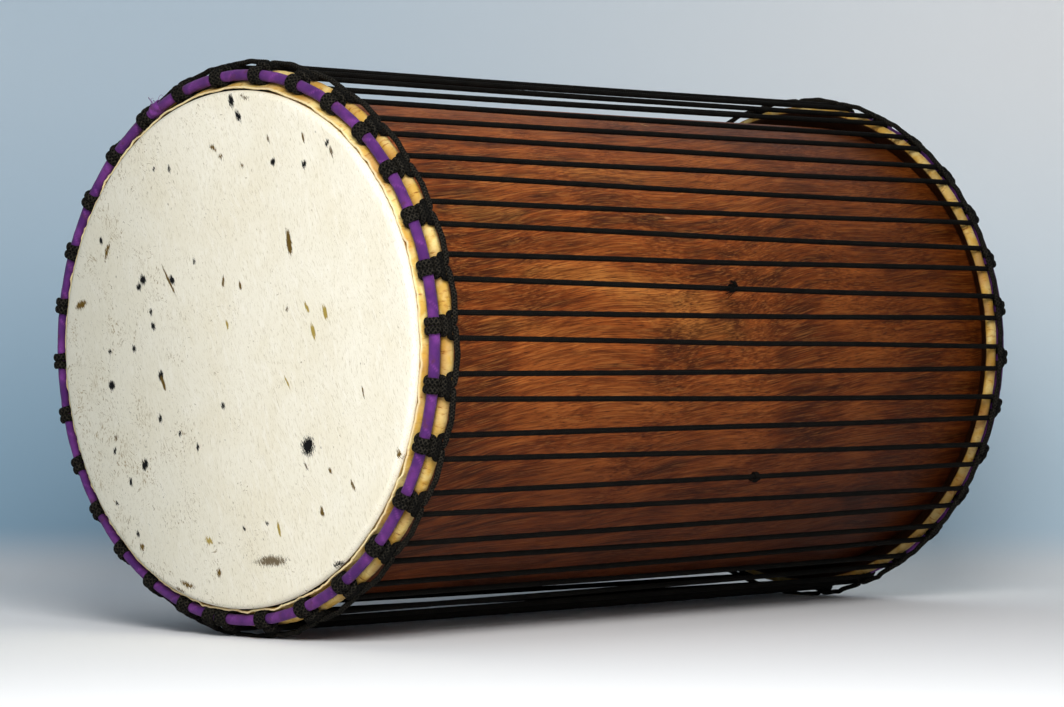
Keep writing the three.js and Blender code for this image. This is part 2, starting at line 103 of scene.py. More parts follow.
@dataclass(frozen=True)
class Layout:
    """The drum's driving sizes, as the solids have them."""

    crown_spacing: float = 698 * MM
    head_lift: float = 9.2 * MM
    clearance: float = 0.3 * MM
    shell_radius: float = 196.2 * MM
    shell_wall: float = 18 * MM
    hide_thickness: float = 1.4 * MM
    flap_room: float = 0.9 * MM
    flesh_rod_radius: float = 2.6 * MM
    crown_rod_radius: float = 2.6 * MM
    cloth_thickness: float = 1.3 * MM
    rope_radius: float = 2.1 * MM
    flat_half_thickness: float = 1.45 * MM
    flat_half_width: float = 3.05 * MM
    strand_half_thickness: float = 1.8 * MM
    rope_gap: float = 0.5 * MM
    rest_cut: float = 0.42 * MM
    hitch_count: int = 30
    turn_sides: int = 5
    hoop_lean: float = 90
    back_turn_spread: float = 5.9 * MM
    lacing_half_pair: float = 9.4 * MM
    lacing_lift: float = 0.4 * MM

    @property
    def pitch(self) -> float:
        """The angle from one hitch to the next."""
        return TURN / self.hitch_count

    @property
    def crown_tube(self) -> float:
        """Outside radius of the cloth-wound crown hoop."""
        return self.crown_rod_radius + self.clearance + self.cloth_thickness

    @property
    def fold_middle(self) -> float:
        """From the flesh rod's centre to the middle of the hide round it."""
        return self.flesh_rod_radius + self.clearance + self.hide_thickness

    @property
    def turn_face(self) -> float:
        """From the crown hoop's centre to the middle of a rope turned round it."""
        return self.crown_tube + self.clearance + self.flat_half_thickness

    @property
    def turn_corner(self) -> float:
        """The same at the corners of the solid's turns."""
        return self.turn_face / math.cos(math.pi / self.turn_sides)

    @property
    def side_middle(self) -> float:
        """Radius of the middle of the hide on the shell's side."""
        return self.shell_radius + self.clearance + self.hide_thickness / 2

    @property
    def flap_radius(self) -> float:
        """Radius of the trimmed edge that stands beside the side."""
        return self.side_middle + self.hide_thickness + self.flap_room

    @property
    def turn_clear(self) -> float:
        """From a turn's middle to the hide's."""
        return self.flat_half_thickness + self.clearance + self.hide_thickness

    @property
    def crown_radius(self) -> float:
        """Radius of the crown hoop."""
        return self.flap_radius + self.turn_clear + self.turn_corner

    @property
    def hoop_spacing(self) -> float:
        """From the crown hoop to the flesh hoop."""
        turn = self.turn_face + self.flat_half_thickness + self.clearance
        return turn + self.fold_middle + self.hide_thickness / 2

    @property
    def flesh_radius(self) -> float:
        """Radius of the flesh hoop."""
        return self.crown_radius + self.hoop_spacing * math.cos(degrees(self.hoop_lean))

    @property
    def flesh_depth(self) -> float:
        """How far the flesh hoop lies behind the crown hoop."""
        return self.hoop_spacing * math.sin(degrees(self.hoop_lean))

    @property
    def fold_reach(self) -> float:
        """Outside radius of the fold."""
        return self.flesh_radius + self.fold_middle + self.hide_thickness / 2

    @property
    def lacing_reach(self) -> float:
        """From the axis to the middle of a run of the lacing."""
        return self.fold_reach + self.rope_radius + self.lacing_lift

    @property
    def strand_reach(self) -> float:
        """From the axis to the middle of a strand."""
        over_run = self.rope_radius + self.strand_half_thickness + self.rope_gap
        return self.lacing_reach + over_run + 2 * self.clearance

    @property
    def axis_height(self) -> float:
        """From the floor to the drum's axis."""
        return self.strand_reach + self.strand_half_thickness - self.rest_cut


LAYOUT = Layout()


@dataclass(frozen=True)
class Drift:
    """How far the hand-tied hitches of one end lie from their even places, in degrees.

    Attributes:
        shift: how far all of them do.
        sway: how much more they do where it is at its most.
        aim: where that is, from the top towards +Y.
        pinch: how much more they do at the top and bottom than at the sides.
    """

    shift: float
    sway: float
    aim: float = 0.0
    pinch: float = 0.0

    def at(self, angle: float) -> float:
        """The drift, in radians, at an angle from the top towards +Y."""
        swayed = self.sway * math.cos(angle - degrees(self.aim))
        return degrees(self.shift + swayed + self.pinch * math.cos(2 * angle))


FRONT_DRIFT = Drift(-0.7, -0.9, 51, -1.5)
BACK_DRIFT = Drift(0.3, -2.6)
FRONT_START_HITCH = 15
BACK_START_HITCH = 8


class End(Enum):
    """The two ends of the drum."""

    FRONT = "front"
    BACK = "back"

    @property
    def facing(self) -> int:
        """Which way the head looks along X."""
        return -1 if self is End.FRONT else 1

    @property
    def first_hitch(self) -> float:
        """Angle of hitch 0 from the top towards +Y."""
        return self.facing * LAYOUT.pitch / 4

    @property
    def start_hitch(self) -> int:
        """The hitch where the cradle rope starts and ends."""
        return FRONT_START_HITCH if self is End.FRONT else BACK_START_HITCH

    def point(self, angle: float, r: float, a: float) -> Vector:
        """A point of this end.

        Args:
            angle: from the top towards +Y.
            r: distance from the axis.
            a: distance behind the crown hoop's plane.

        Returns:
            The point in the model's frame.
        """
        x = self.facing * (LAYOUT.crown_spacing / 2 - a)
        return Vector((x, r * math.sin(angle), LAYOUT.axis_height + r * math.cos(angle)))

    def drift(self, even: float) -> float:
        """How far a hand-tied hitch lies from its even place, as the photograph shows it."""
        return (FRONT_DRIFT if self is End.FRONT else BACK_DRIFT).at(even)

    def hitch_angle(self, index: float) -> float:
        """Angle of a hitch from the top towards +Y."""
        even = self.first_hitch + index * LAYOUT.pitch
        return even + self.drift(even)

    def hitch_share(self, angle: float) -> float:
        """The number of the hitch at an angle, with the share of the way to the next one."""
        return (angle - self.drift(angle) - self.first_hitch) / LAYOUT.pitch

    def by_hitch(self, index: float, s: float, r: float, a: float) -> Vector:
        """A point beside a hitch.

        Args:
            index: the hitch's number.
            s: distance round the hoop from the hitch's middle.
            r: distance from the axis.
            a: distance behind the crown hoop's plane.

        Returns:
            The point in the model's frame.
        """
        angle = self.hitch_angle(index)
        round_hoop = Vector((0, math.cos(angle), -math.sin(angle)))
        return self.point(angle, r, a) + s * round_hoop


def round_crown(radius: float, angle: float) -> Place:
    """A place round the crown hoop, by the angle from outward to behind the hoop."""
    return LAYOUT.crown_radius + radius * math.cos(angle), radius * math.sin(angle)


# The camera, and places read off the photograph through it


@dataclass(frozen=True)
class Eye:
    """The camera of the photograph, found from the drum's two rings."""

    frame_width: int = 1064
    frame_height: int = 707
    focal: float = 3893.45
    yaw: float = 0.8212
    pitch: float = 0.0048
    stand: tuple[float, float, float] = (-2392.3 * MM, -2209.7 * MM, 9.8 * MM)
    sensor: float = 36.0
    near_clip: float = 0.05
    far_clip: float = 60.0

    @property
    def place(self) -> Vector:
        """Where the camera stands."""
        x, y, above_axis = self.stand
        return Vector((x, y, above_axis + LAYOUT.axis_height))

    def ray(self, pixel: Place) -> Vector:
        """The direction in which the camera sees a pixel.

        Args:
            pixel: a pixel of the photograph, across and down.

        Returns:
            The direction, one long in the line of sight.
        """
        turn = Vector((math.sin(self.yaw), math.cos(self.yaw), 0))
        ahead = turn * math.cos(self.pitch) - Vector((0, 0, math.sin(self.pitch)))
        right = Vector((math.cos(self.yaw), -math.sin(self.yaw), 0))
        up = right.cross(ahead)
        across = (pixel[0] - self.frame_width / 2) / self.focal
        down = (pixel[1] - self.frame_height / 2) / self.focal
        return ahead + across * right - down * up

    def on_face(self, pixel: Place) -> Vector:
        """The point of the front head that a pixel shows.

        Args:
            pixel: a pixel of the photograph, across and down.

        Returns:
            The point.
        """
        ray = self.ray(pixel)
        face = -(LAYOUT.crown_spacing / 2 + LAYOUT.head_lift)
        return self.place + ray * ((face - self.place.x) / ray.x)

    def on_shell(self, pixel: Place) -> Vector:
        """The point of the shell that a pixel shows.

        Args:
            pixel: a pixel of the photograph, across and down.

        Returns:
            The point.
        """
        ray = self.ray(pixel)
        start = self.place - Vector((0, 0, LAYOUT.axis_height))
        a = ray.y**2 + ray.z**2
        b = start.y * ray.y + start.z * ray.z
        c = start.y**2 + start.z**2 - LAYOUT.shell_radius**2
        way = (-b - math.sqrt(max(0.0, b * b - a * c))) / a
        return self.place + ray * way

    def make(self) -> bpy.types.Object:
        """Makes the camera and hands it to the scene.

        Returns:
            The camera.
        """
        data = bpy.data.cameras.new("photo_camera")
        data.sensor_fit = "HORIZONTAL"
        data.sensor_width = self.sensor
        data.lens = self.focal / self.frame_width * self.sensor
        data.clip_start = self.near_clip
        data.clip_end = self.far_clip
        camera = bpy.data.objects.new("photo_camera", data)
        camera.location = self.place
        camera.rotation_euler = (TURN / 4 - self.pitch, 0, -self.yaw)
        bpy.context.scene.collection.objects.link(camera)
        bpy.context.scene.camera = camera
        return camera


EYE = Eye()


# Meshes


def make_piece(
    name: str,
    points: Sequence[Vector],
    faces: Sequence[Sequence[int]],
    lay: Sequence[Vector] | None = None,
) -> bpy.types.Object:
    """Makes an object from points and faces, with its faces turned outward.

    Args:
        name: the piece's name.
        points: its points, in metres.
        faces: its faces, as numbers of points.
        lay: for each point, three values that the piece's material reads.

    Returns:
        The new object.
    """
    volume = 0.0
    for face in faces:
        for i in range(1, len(face) - 1):
            volume += points[face[0]].dot(points[face[i]].cross(points[face[i + 1]]))
    turned = [tuple(reversed(face)) for face in faces] if volume < 0 else faces
    mesh = bpy.data.meshes.new(name)
    mesh.from_pydata([tuple(point) for point in points], [], turned)
    mesh.update()
    mesh.polygons.foreach_set("use_smooth", [True] * len(mesh.polygons))
    if lay is not None:
        kept = mesh.attributes.new("lay", "FLOAT_VECTOR", "POINT")
        kept.data.foreach_set("vector", [value for entry in lay for value in entry])
    piece = bpy.data.objects.new(name, mesh)
    bpy.context.scene.collection.objects.link(piece)
    return piece


def join_rings(
    name: str,
    rings: Sequence[Sequence[Vector]],
    closed: bool,
    lays: Sequence[Sequence[Vector]] | None = None,
) -> bpy.types.Object:
    """Joins rings of equal length into one closed body.

    Args:
        name: the piece's name.
        rings: the rings of points.
        closed: whether the last ring joins the first. If not, both ends get a cap.
        lays: for each point, three values that the material reads.

    Returns:
        The new object.
    """
    count = len(rings[0])
    points = [point for ring in rings for point in ring]
    faces: list[tuple[int, ...]] = []
    steps = len(rings) if closed else len(rings) - 1
    for i in range(steps):
        here = i * count
        after = ((i + 1) % len(rings)) * count
        for j in range(count):
            k = (j + 1) % count
            faces.append((here + j, here + k, after + k, after + j))
    if not closed:
        last = (len(rings) - 1) * count
        faces.append(tuple(range(count - 1, -1, -1)))
        faces.append(tuple(range(last, last + count)))
    lay = None if lays is None else [entry for ring in lays for entry in ring]
    return make_piece(name, points, faces, lay)


def finish_piece(
    piece: bpy.types.Object,
    material: bpy.types.Material,
    slot: str,
    *nodes: str,
) -> bpy.types.Object:
    """Dresses a piece and ties it to the drum.

    Args:
        piece: the piece.
        material: its finish.
        slot: not used.
        nodes: the solids that the piece stands for.

    Returns:
        The piece.
    """
    piece.data.materials.clear()
    piece.data.materials.append(material)
    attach(piece, BODY)
    if nodes:
        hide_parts(*nodes)
    stands_for = ", ".join(nodes) or "itself"
    log.info("%s: %d points, stands for %s", piece.name, len(piece.data.vertices), stands_for)
    return piece


# Ropes


@dataclass(frozen=True)
class Cut:
    """A rope's section: half its thickness and half its width."""

    thick: float
    wide: float


class Section(Enum):
    """The sections that the ropes are pressed into."""

    ROUND = Cut(2.2 * MM, 2.2 * MM)
    FLAT = Cut(1.8 * MM, 3.05 * MM)
    KNEE = Cut(1.75 * MM, 2.85 * MM)
    BAR = Cut(2.2 * MM, 2.6 * MM)
    NECK = Cut(1.9 * MM, 2.2 * MM)
    STRAND = Cut(2.0 * MM, 2.6 * MM)
    THREAD = Cut(0.8 * MM, 0.8 * MM)


@dataclass(frozen=True)
class Stop:
    """A place that a rope passes.

    Attributes:
        at: the rope's middle.
        flat: the way that its flat side looks.
        cut: its section.
    """

    at: Vector
    flat: Vector
    cut: Cut


def rope_stop(end: End, index: float, s: float, place: Place, section: Section, angle: float) -> Stop:
    """A stop beside a hitch.

    Args:
        end: the drum's end.
        index: the hitch's number.
        s: distance round the hoop from the hitch's middle.
        place: the place in the plane of the end, as (r, a).
        section: the rope's section there.
        angle: where its flat side looks, from outward to behind the hoop.

    Returns:
        The stop.
    """
    r, a = place
    at = end.by_hitch(index, s, r, a)
    flat = end.by_hitch(index, s, r + math.cos(angle), a + math.sin(angle)) - at
    return Stop(at, flat, section.value)


@dataclass(frozen=True)
class Rope:
    """A rope laid through stops on one smooth curve.

    Attributes:
        name: the piece's name.
        stops: the places that it passes.
        closed: whether its end runs into its start.
        sides: points round its section.
        step: distance between its rings in the bends.
        long_step: distance between its rings on long runs.
        long_span: the distance between stops from which a run is long.
        lumps: how much its thickness varies.
        lump_length: how far one thick place is from the next.
        plait: how high the braid stands, as a share of the thickness.
        plait_middle: the braid's middle height.
        pitch: the length of one turn of the braid.
        carriers: how often the braid crosses itself round the rope.
        seed: what makes one rope's lumps differ from another's.
        end_shares: the section's shares at the first rings from a cut end.
        least_knot: the least step on the curve.
        flat_knot: the step below which two stops count as one.
    """

    name: str
    stops: tuple[Stop, ...]
    closed: bool = False
    sides: int = 12
    step: float = 1.1 * MM
    long_step: float = 4.5 * MM
    long_span: float = 24 * MM
    lumps: float = 0.06
    lump_length: float = 6 * MM
    plait: float = 0.0
    plait_middle: float = 0.8
    pitch: float = 5.4 * MM
    carriers: int = 2
    seed: float = 0.37
    end_shares: tuple[float, ...] = (0.45, 0.8, 0.95)
    least_knot: float = 1e-6
    flat_knot: float = 1e-5

    def _smooth(self) -> list[Stop]:
        """Lays the curve through the stops, close enough for the mesh.

        Returns:
            The stops, a mesh ring apart.
        """
        stops = self.stops
        count = len(stops)
        spans = count if self.closed else count - 1
        made: list[Stop] = []
        for i in range(spans):
            here, after = stops[i], stops[(i + 1) % count]
            before = stops[i - 1] if self.closed or i > 0 else here
            later = stops[(i + 2) % count] if self.closed or i + 2 < count else after
            span = (after.at - here.at).length
            step = self.step if span < self.long_span else self.long_step
            pieces = max(1, round(span / step))
            knots = [0.0]
            for p, q in ((before, here), (here, after), (after, later)):
                knots.append(knots[-1] + max(math.sqrt((q.at - p.at).length), self.least_knot))
            for k in range(pieces):
                share = k / pieces
                at = self._between(before.at, here.at, after.at, later.at, knots, share)
                flat = here.flat.lerp(after.flat, share)
                blend = ease(share, 0, 1)
                thick = here.cut.thick + (after.cut.thick - here.cut.thick) * blend
                wide = here.cut.wide + (after.cut.wide - here.cut.wide) * blend
                made.append(Stop(at, flat, Cut(thick, wide)))
        if not self.closed:
            made.append(stops[-1])
        return made

    def _between(
        self, p0: Vector, p1: Vector, p2: Vector, p3: Vector, knots: Sequence[float], share: float
    ) -> Vector:
        """A point between p1 and p2 on the curve through four points.

        Args:
            p0: the point before both.
            p1: the point at the start.
            p2: the point at the end.
            p3: the point after both.
            knots: the curve's value at each of the four.
            share: the share of the way.

        Returns:
            The point.
        """
        t0, t1, t2, t3 = knots
        t = t1 + (t2 - t1) * share
        a1 = p0 if t1 - t0 < self.flat_knot else ((t1 - t) * p0 + (t - t0) * p1) / (t1 - t0)
        a2 = ((t2 - t) * p1 + (t - t1) * p2) / (t2 - t1)
        a3 = p3 if t3 - t2 < self.flat_knot else ((t3 - t) * p2 + (t - t2) * p3) / (t3 - t2)
        b1 = ((t2 - t) * a1 + (t - t0) * a2) / (t2 - t0)
        b2 = ((t3 - t) * a2 + (t - t1) * a3) / (t3 - t1)
        return ((t2 - t) * b1 + (t - t1) * b2) / (t2 - t1)

    def make(self) -> bpy.types.Object:
        """Builds the rope's mesh, pressed flat where it would reach below the floor.

        Returns:
            The piece.
        """
        line = self._smooth()
        count = len(line)
        rings: list[list[Vector]] = []
        lays: list[list[Vector]] = []
        length = 0.0
        for i, stop in enumerate(line):
            before = line[i - 1].at if self.closed or i > 0 else stop.at
            after = line[(i + 1) % count].at if self.closed or i + 1 < count else stop.at
            along = (after - before).normalized()
            thick_way = (stop.flat - along * stop.flat.dot(along)).normalized()
            wide_way = along.cross(thick_way)
            swell = 1 + self.lumps * wander(length / self.lump_length, len(self.stops) * self.seed)
            if not self.closed:
                swell *= self._end_share(i, count)
            ring = []
            lay = []
            for j in range(self.sides):
                angle = j / self.sides * TURN
                share, turn = math.cos(angle), math.sin(angle)
                out = thick_way * (share * stop.cut.thick) + wide_way * (turn * stop.cut.wide)
                point = stop.at + out * (swell + self._relief(length, j / self.sides))
                point.z = max(point.z, 0.0)
                ring.append(point)
                lay.append(Vector((length, share, turn)))
            rings.append(ring)
            lays.append(lay)
            length += (after - stop.at).length
        return join_rings(self.name, rings, self.closed, lays)

    def _relief(self, length: float, round_share: float) -> float:
        """How far the braid stands out at a place on the rope.

        Args:
            length: the length along the rope.
            round_share: the share of the way round it.

        Returns:
            The relief.
        """
        if not self.plait:
            return 0.0
        way = length / self.pitch
        turn = round_share * self.carriers
        over = max(abs(math.sin((way + turn) * TURN)), abs(math.sin((way - turn) * TURN)))
        return self.plait * (over - self.plait_middle)

    def _end_share(self, i: int, count: int) -> float:
        """Rounds off the cut ends."""
        from_end = min(i, count - 1 - i)
        return self.end_shares[from_end] if from_end < len(self.end_shares) else 1.0


# Shaders


class NodeBoard:
    """A node tree with short words for adding and joining its nodes."""

    def __init__(self, tree: bpy.types.NodeTree) -> None:
        """Starts on a tree."""
        self.tree = tree

    def add(self, kind: str, **settings: object) -> bpy.types.Node:
        """Adds a node and sets its options.

        Args:
            kind: the node's type.
            settings: its options by name.

        Returns:
            The node.
        """
        node = self.tree.nodes.new(kind)
        for name, value in settings.items():
            setattr(node, name, value)
        return node

    def feed(self, socket: Socket, value: Feed) -> None:
        """Joins a socket to another one, or sets its value.

        Args:
            socket: the socket to feed.
            value: a socket or a value.
        """
        if isinstance(value, bpy.types.NodeSocket):
            self.tree.links.new(value, socket)
        elif isinstance(value, (int, float)):
            if hasattr(socket.default_value, "__len__"):
                socket.default_value = [value] * len(socket.default_value)
            else:
                socket.default_value = value
        else:
            socket.default_value = list(value)[: len(socket.default_value)]

    def math(self, operation: str, a: Feed, b: Feed = 0.0) -> Socket:
        """A sum of two values.

        Args:
            operation: the node's operation.
            a: the first.
            b: the second.

        Returns:
            The result.
        """
        node = self.add("ShaderNodeMath", operation=operation)
        self.feed(node.inputs[0], a)
        self.feed(node.inputs[1], b)
        return node.outputs[0]

    def vector(self, operation: str, a: Feed, b: Feed = (0.0, 0.0, 0.0)) -> Socket:
        """A sum of two vectors.

        Args:
            operation: the node's operation.
            a: the first.
            b: the second.

        Returns:
            The result.
        """
        node = self.add("ShaderNodeVectorMath", operation=operation)
        self.feed(node.inputs[0], a)
        self.feed(node.inputs[1], b)
        return node.outputs["Value" if operation in ("LENGTH", "DOT_PRODUCT") else "Vector"]

    def combine(self, x: Feed, y: Feed, z: Feed) -> Socket:
        """A vector from three values.

        Args:
            x: the first value.
            y: the second value.
            z: the third value.

        Returns:
            The vector.
        """
        node = self.add("ShaderNodeCombineXYZ")
        for socket, value in zip(node.inputs, (x, y, z)):
            self.feed(socket, value)
        return node.outputs[0]

    def split(self, vector: Feed) -> list[Socket]:
        """The three values of a vector.

        Args:
            vector: the vector.

        Returns:
            The three values.
        """
        node = self.add("ShaderNodeSeparateXYZ")
        self.feed(node.inputs[0], vector)
        return list(node.outputs)

    def remap(
        self, value: Feed, low: Feed, high: Feed, to_low: Feed = 0.0, to_high: Feed = 1.0
    ) -> Socket:
        """Goes smoothly from to_low at low to to_high at high.

        Args:
            value: the value.
            low: where it starts.
            high: where it ends.
            to_low: what it gives at the start.
            to_high: what it gives at the end.

        Returns:
            The result.
        """
        node = self.add("ShaderNodeMapRange", interpolation_type="SMOOTHSTEP")
        for socket, given in zip(node.inputs, (value, low, high, to_low, to_high)):
            self.feed(socket, given)
        return node.outputs[0]

    def mix(self, share: Feed, a: Feed, b: Feed, blend: str = "MIX") -> Socket:
        """A mix of two colours.

        Args:
            share: how much of the second colour.
            a: the first colour.
            b: the second colour.
            blend: how they mix.

        Returns:
            The colour.
        """
        node = self.add("ShaderNodeMix", data_type="RGBA", blend_type=blend)
        self.feed(node.inputs[0], share)
        self.feed(node.inputs[6], a)
        self.feed(node.inputs[7], b)
        return node.outputs[2]

    def noise(
        self, vector: Feed, scale: Feed, detail: float = 2.0, rough: float = 0.5
    ) -> bpy.types.Node:
        """A noise node. Its outputs are Fac and Color.

        Args:
            vector: the place.
            scale: how many times it changes in a metre.
            detail: how many finer layers it has.
            rough: how strong those are.

        Returns:
            The node.
        """
        node = self.add("ShaderNodeTexNoise")
        self.feed(node.inputs["Vector"], vector)
        self.feed(node.inputs["Scale"], scale)
        self.feed(node.inputs["Detail"], detail)
        self.feed(node.inputs["Roughness"], rough)
        return node

    def group(self, tree: bpy.types.NodeTree, **inputs: Feed) -> bpy.types.Node:
        """Places an effect. An input's name is written with _ for each blank.

        Args:
            tree: the effect.
            inputs: what goes into it.

        Returns:
            The node.
        """
        node = self.add("ShaderNodeGroup", node_tree=tree)
        for name, value in inputs.items():
            self.feed(node.inputs[name.replace("_", " ")], value)
        return node

    def bump(self, height: Feed, depth: float, strength: float = 1.0) -> Socket:
        """Relief from a height.

        Args:
            height: the height, 0 to 1.
            depth: how deep the relief is, in metres.
            strength: its share.

        Returns:
            The normal.
        """
        node = self.add("ShaderNodeBump")
        node.inputs["Strength"].default_value = strength
        node.inputs["Distance"].default_value = depth
        self.feed(node.inputs["Height"], height)
        return node.outputs[0]


class Effects:
    """The effects that more than one finish uses, each built once as a node group."""

    def __init__(self) -> None:
        """Builds every effect."""
        self.streaks = self._streaks()
        self.patches = self._patches()
        self.plait = self._plait()
        self.weave = self._weave()
        self.blot = self._blot()
        self.specks = self._specks()

    @staticmethod
    def _open(
        name: str, takes: dict[str, float | tuple[float, float, float]], gives: Sequence[str]
    ) -> tuple[NodeBoard, dict[str, Socket], bpy.types.Node]:
        """Starts an effect.

        Args:
            name: the effect's name.
            takes: its inputs with their first values.
            gives: the names of its outputs, each a value.

        Returns:
            The board, the inputs by name, and the node that the outputs go into.
        """
        tree = bpy.data.node_groups.new(name, "ShaderNodeTree")
        for label, value in takes.items():
            kind = "NodeSocketVector" if isinstance(value, tuple) else "NodeSocketFloat"
            made = tree.interface.new_socket(name=label, in_out="INPUT", socket_type=kind)
            made.default_value = value
        for label in gives:
            tree.interface.new_socket(name=label, in_out="OUTPUT", socket_type="NodeSocketFloat")
        board = NodeBoard(tree)
        start = board.add("NodeGroupInput")
        end = board.add("NodeGroupOutput")
        return board, {socket.name: socket for socket in start.outputs if socket.name}, end

    def _streaks(self) -> bpy.types.NodeTree:
        """Streaks along the first axis of the given place, which wander to the side.

        Returns:
            The effect's node group.
        """
        board, given, end = self._open(
            "streaks",
            {"Place": (0.0, 0.0, 0.0), "Along": 60.0, "Across": 700.0, "Wander": 0.01, "Wander Size": 12.0},
            ["Streak", "Broad"],
        )
        bend = board.noise(given["Place"], given["Wander Size"], 1.0)
        shift = board.vector("SUBTRACT", bend.outputs["Color"], (0.5, 0.5, 0.5))
        moved = board.vector("MULTIPLY", shift, board.combine(0.0, given["Wander"], given["Wander"]))
        place = board.vector("ADD", given["Place"], moved)
        size = board.combine(given["Along"], given["Across"], given["Across"])
        fine = board.noise(board.vector("MULTIPLY", place, size), 1.0, 3.0, 0.6)
        third = board.vector("MULTIPLY", size, (0.33, 0.25, 0.25))
        broad = board.noise(board.vector("MULTIPLY", place, third), 1.0, 2.0, 0.5)
        board.feed(end.inputs["Streak"], fine.outputs["Fac"])
        board.feed(end.inputs["Broad"], broad.outputs["Fac"])
        return board.tree

    def _patches(self) -> bpy.types.NodeTree:
        """Soft patches of about the given size.

        Returns:
            The effect's node group.
        """
        board, given, end = self._open(
            "patches", {"Place": (0.0, 0.0, 0.0), "Size": 0.05, "Low": 0.35, "High": 0.65}, ["Patch"]
        )
        scale = board.math("DIVIDE", 1.0, given["Size"])
        cloud = board.noise(given["Place"], scale, 3.0, 0.55)
        patch = board.remap(cloud.outputs["Fac"], given["Low"], given["High"])
        board.feed(end.inputs["Patch"], patch)
        return board.tree

    def _plait(self) -> bpy.types.NodeTree:
        """A round braid. Lay is (length, cosine, sine) of the place on the rope.

        Returns:
            The effect's node group.
        """
        board, given, end = self._open(
            "plait", {"Lay": (0.0, 1.0, 0.0), "Pitch": 0.0045, "Carriers": 4.0}, ["Height", "Furrow"]
        )
        length, across, up = board.split(given["Lay"])
        turn = board.math("DIVIDE", board.math("ARCTAN2", up, across), TURN)
        round_share = board.math("MULTIPLY", turn, given["Carriers"])
        way = board.math("DIVIDE", length, given["Pitch"])
        left = board.math("SINE", board.math("MULTIPLY", board.math("ADD", way, round_share), TURN))
        right = board.math("SINE", board.math("MULTIPLY", board.math("SUBTRACT", way, round_share), TURN))
        over = board.math("MAXIMUM", board.math("ABSOLUTE", left), board.math("ABSOLUTE", right))
        board.feed(end.inputs["Height"], over)
        board.feed(end.inputs["Furrow"], board.remap(over, 0.75, 0.35))
        return board.tree

    def _weave(self) -> bpy.types.NodeTree:
        """A plain weave. Lay gives the place on the cloth in metres, in its first two values.

        Returns:
            The effect's node group.
        """
        board, given, end = self._open(
            "weave", {"Lay": (0.0, 0.0, 0.0), "Thread": 0.0007}, ["Height", "Gap"]
        )
        along, across, _ = board.split(given["Lay"])
        warp = board.math("DIVIDE", along, given["Thread"])
        weft = board.math("DIVIDE", across, given["Thread"])
        ups = [board.math("SINE", board.math("MULTIPLY", value, TURN / 2)) for value in (warp, weft)]
        crossed = board.math("MULTIPLY", ups[0], ups[1])
        height = board.math("ABSOLUTE", crossed)
        board.feed(end.inputs["Height"], height)
        board.feed(end.inputs["Gap"], board.remap(height, 0.25, 0.0))
        return board.tree

    def _blot(self) -> bpy.types.NodeTree:
        """One ragged spot. Along and Across are unit directions divided by half its length and width.

        Returns:
            The effect's node group.
        """
        board, given, end = self._open(
            "blot",
            {
                "Place": (0.0, 0.0, 0.0),
                "Middle": (0.0, 0.0, 0.0),
                "Along": (0.0, 0.0, 1.0),
                "Across": (0.0, 1.0, 0.0),
                "Ragged": 0.5,
                "Grain": 700.0,
                "Soft": 0.25,
            },
            ["Spot"],
        )
        away = board.vector("SUBTRACT", given["Place"], given["Middle"])
        long_share = board.vector("DOT_PRODUCT", away, given["Along"])
        wide_share = board.vector("DOT_PRODUCT", away, given["Across"])
        reach = board.vector("LENGTH", board.combine(long_share, wide_share, 0.0))
        torn = board.noise(given["Place"], given["Grain"], 3.0, 0.6)
        shift = board.math("MULTIPLY", board.math("SUBTRACT", torn.outputs["Fac"], 0.5), given["Ragged"])
        worn = board.math("ADD", reach, board.math("MULTIPLY", shift, 2.0))
        low = board.math("SUBTRACT", 1.0, given["Soft"])
        high = board.math("ADD", 1.0, given["Soft"])
        board.feed(end.inputs["Spot"], board.remap(worn, low, high, 1.0, 0.0))
        return board.tree

    def _specks(self) -> bpy.types.NodeTree:
        """Small marks strewn over a surface, stretched by the place that is given.

        Returns:
            The effect's node group.
        """
        board, given, end = self._open(
            "specks", {"Place": (0.0, 0.0, 0.0), "Cell": 0.012, "Share": 0.4, "Size": 0.22}, ["Speck"]
        )
        node = board.add("ShaderNodeTexVoronoi")
        board.feed(node.inputs["Vector"], given["Place"])
        board.feed(node.inputs["Scale"], board.math("DIVIDE", 1.0, given["Cell"]))
        chance, size, _ = board.split(node.outputs["Color"])
        there = board.math("LESS_THAN", chance, given["Share"])
        reach = board.math("MULTIPLY", given["Size"], board.math("ADD", 0.25, size))
        mark = board.remap(node.outputs["Distance"], reach, board.math("MULTIPLY", reach, 0.4))
        board.feed(end.inputs["Speck"], board.math("MULTIPLY", mark, there))
        return board.tree


def start_material(name: str) -> tuple[bpy.types.Material, NodeBoard, bpy.types.Node, Socket]:
    """Starts a material.

    Args:
        name: its name.

    Returns:
        The material, its board, its Principled shader, and the place on the object in metres.
    """
    material = bpy.data.materials.new(name)
    material.use_nodes = True
    board = NodeBoard(material.node_tree)
    shader = next(node for node in material.node_tree.nodes if node.type == "BSDF_PRINCIPLED")
    place = board.add("ShaderNodeTexCoord").outputs["Object"]
    return material, board, shader, place


def read_lay(board: NodeBoard) -> Socket:
    """The three values that a piece keeps for its material."""
    return board.add("ShaderNodeAttribute", attribute_name="lay").outputs["Vector"]


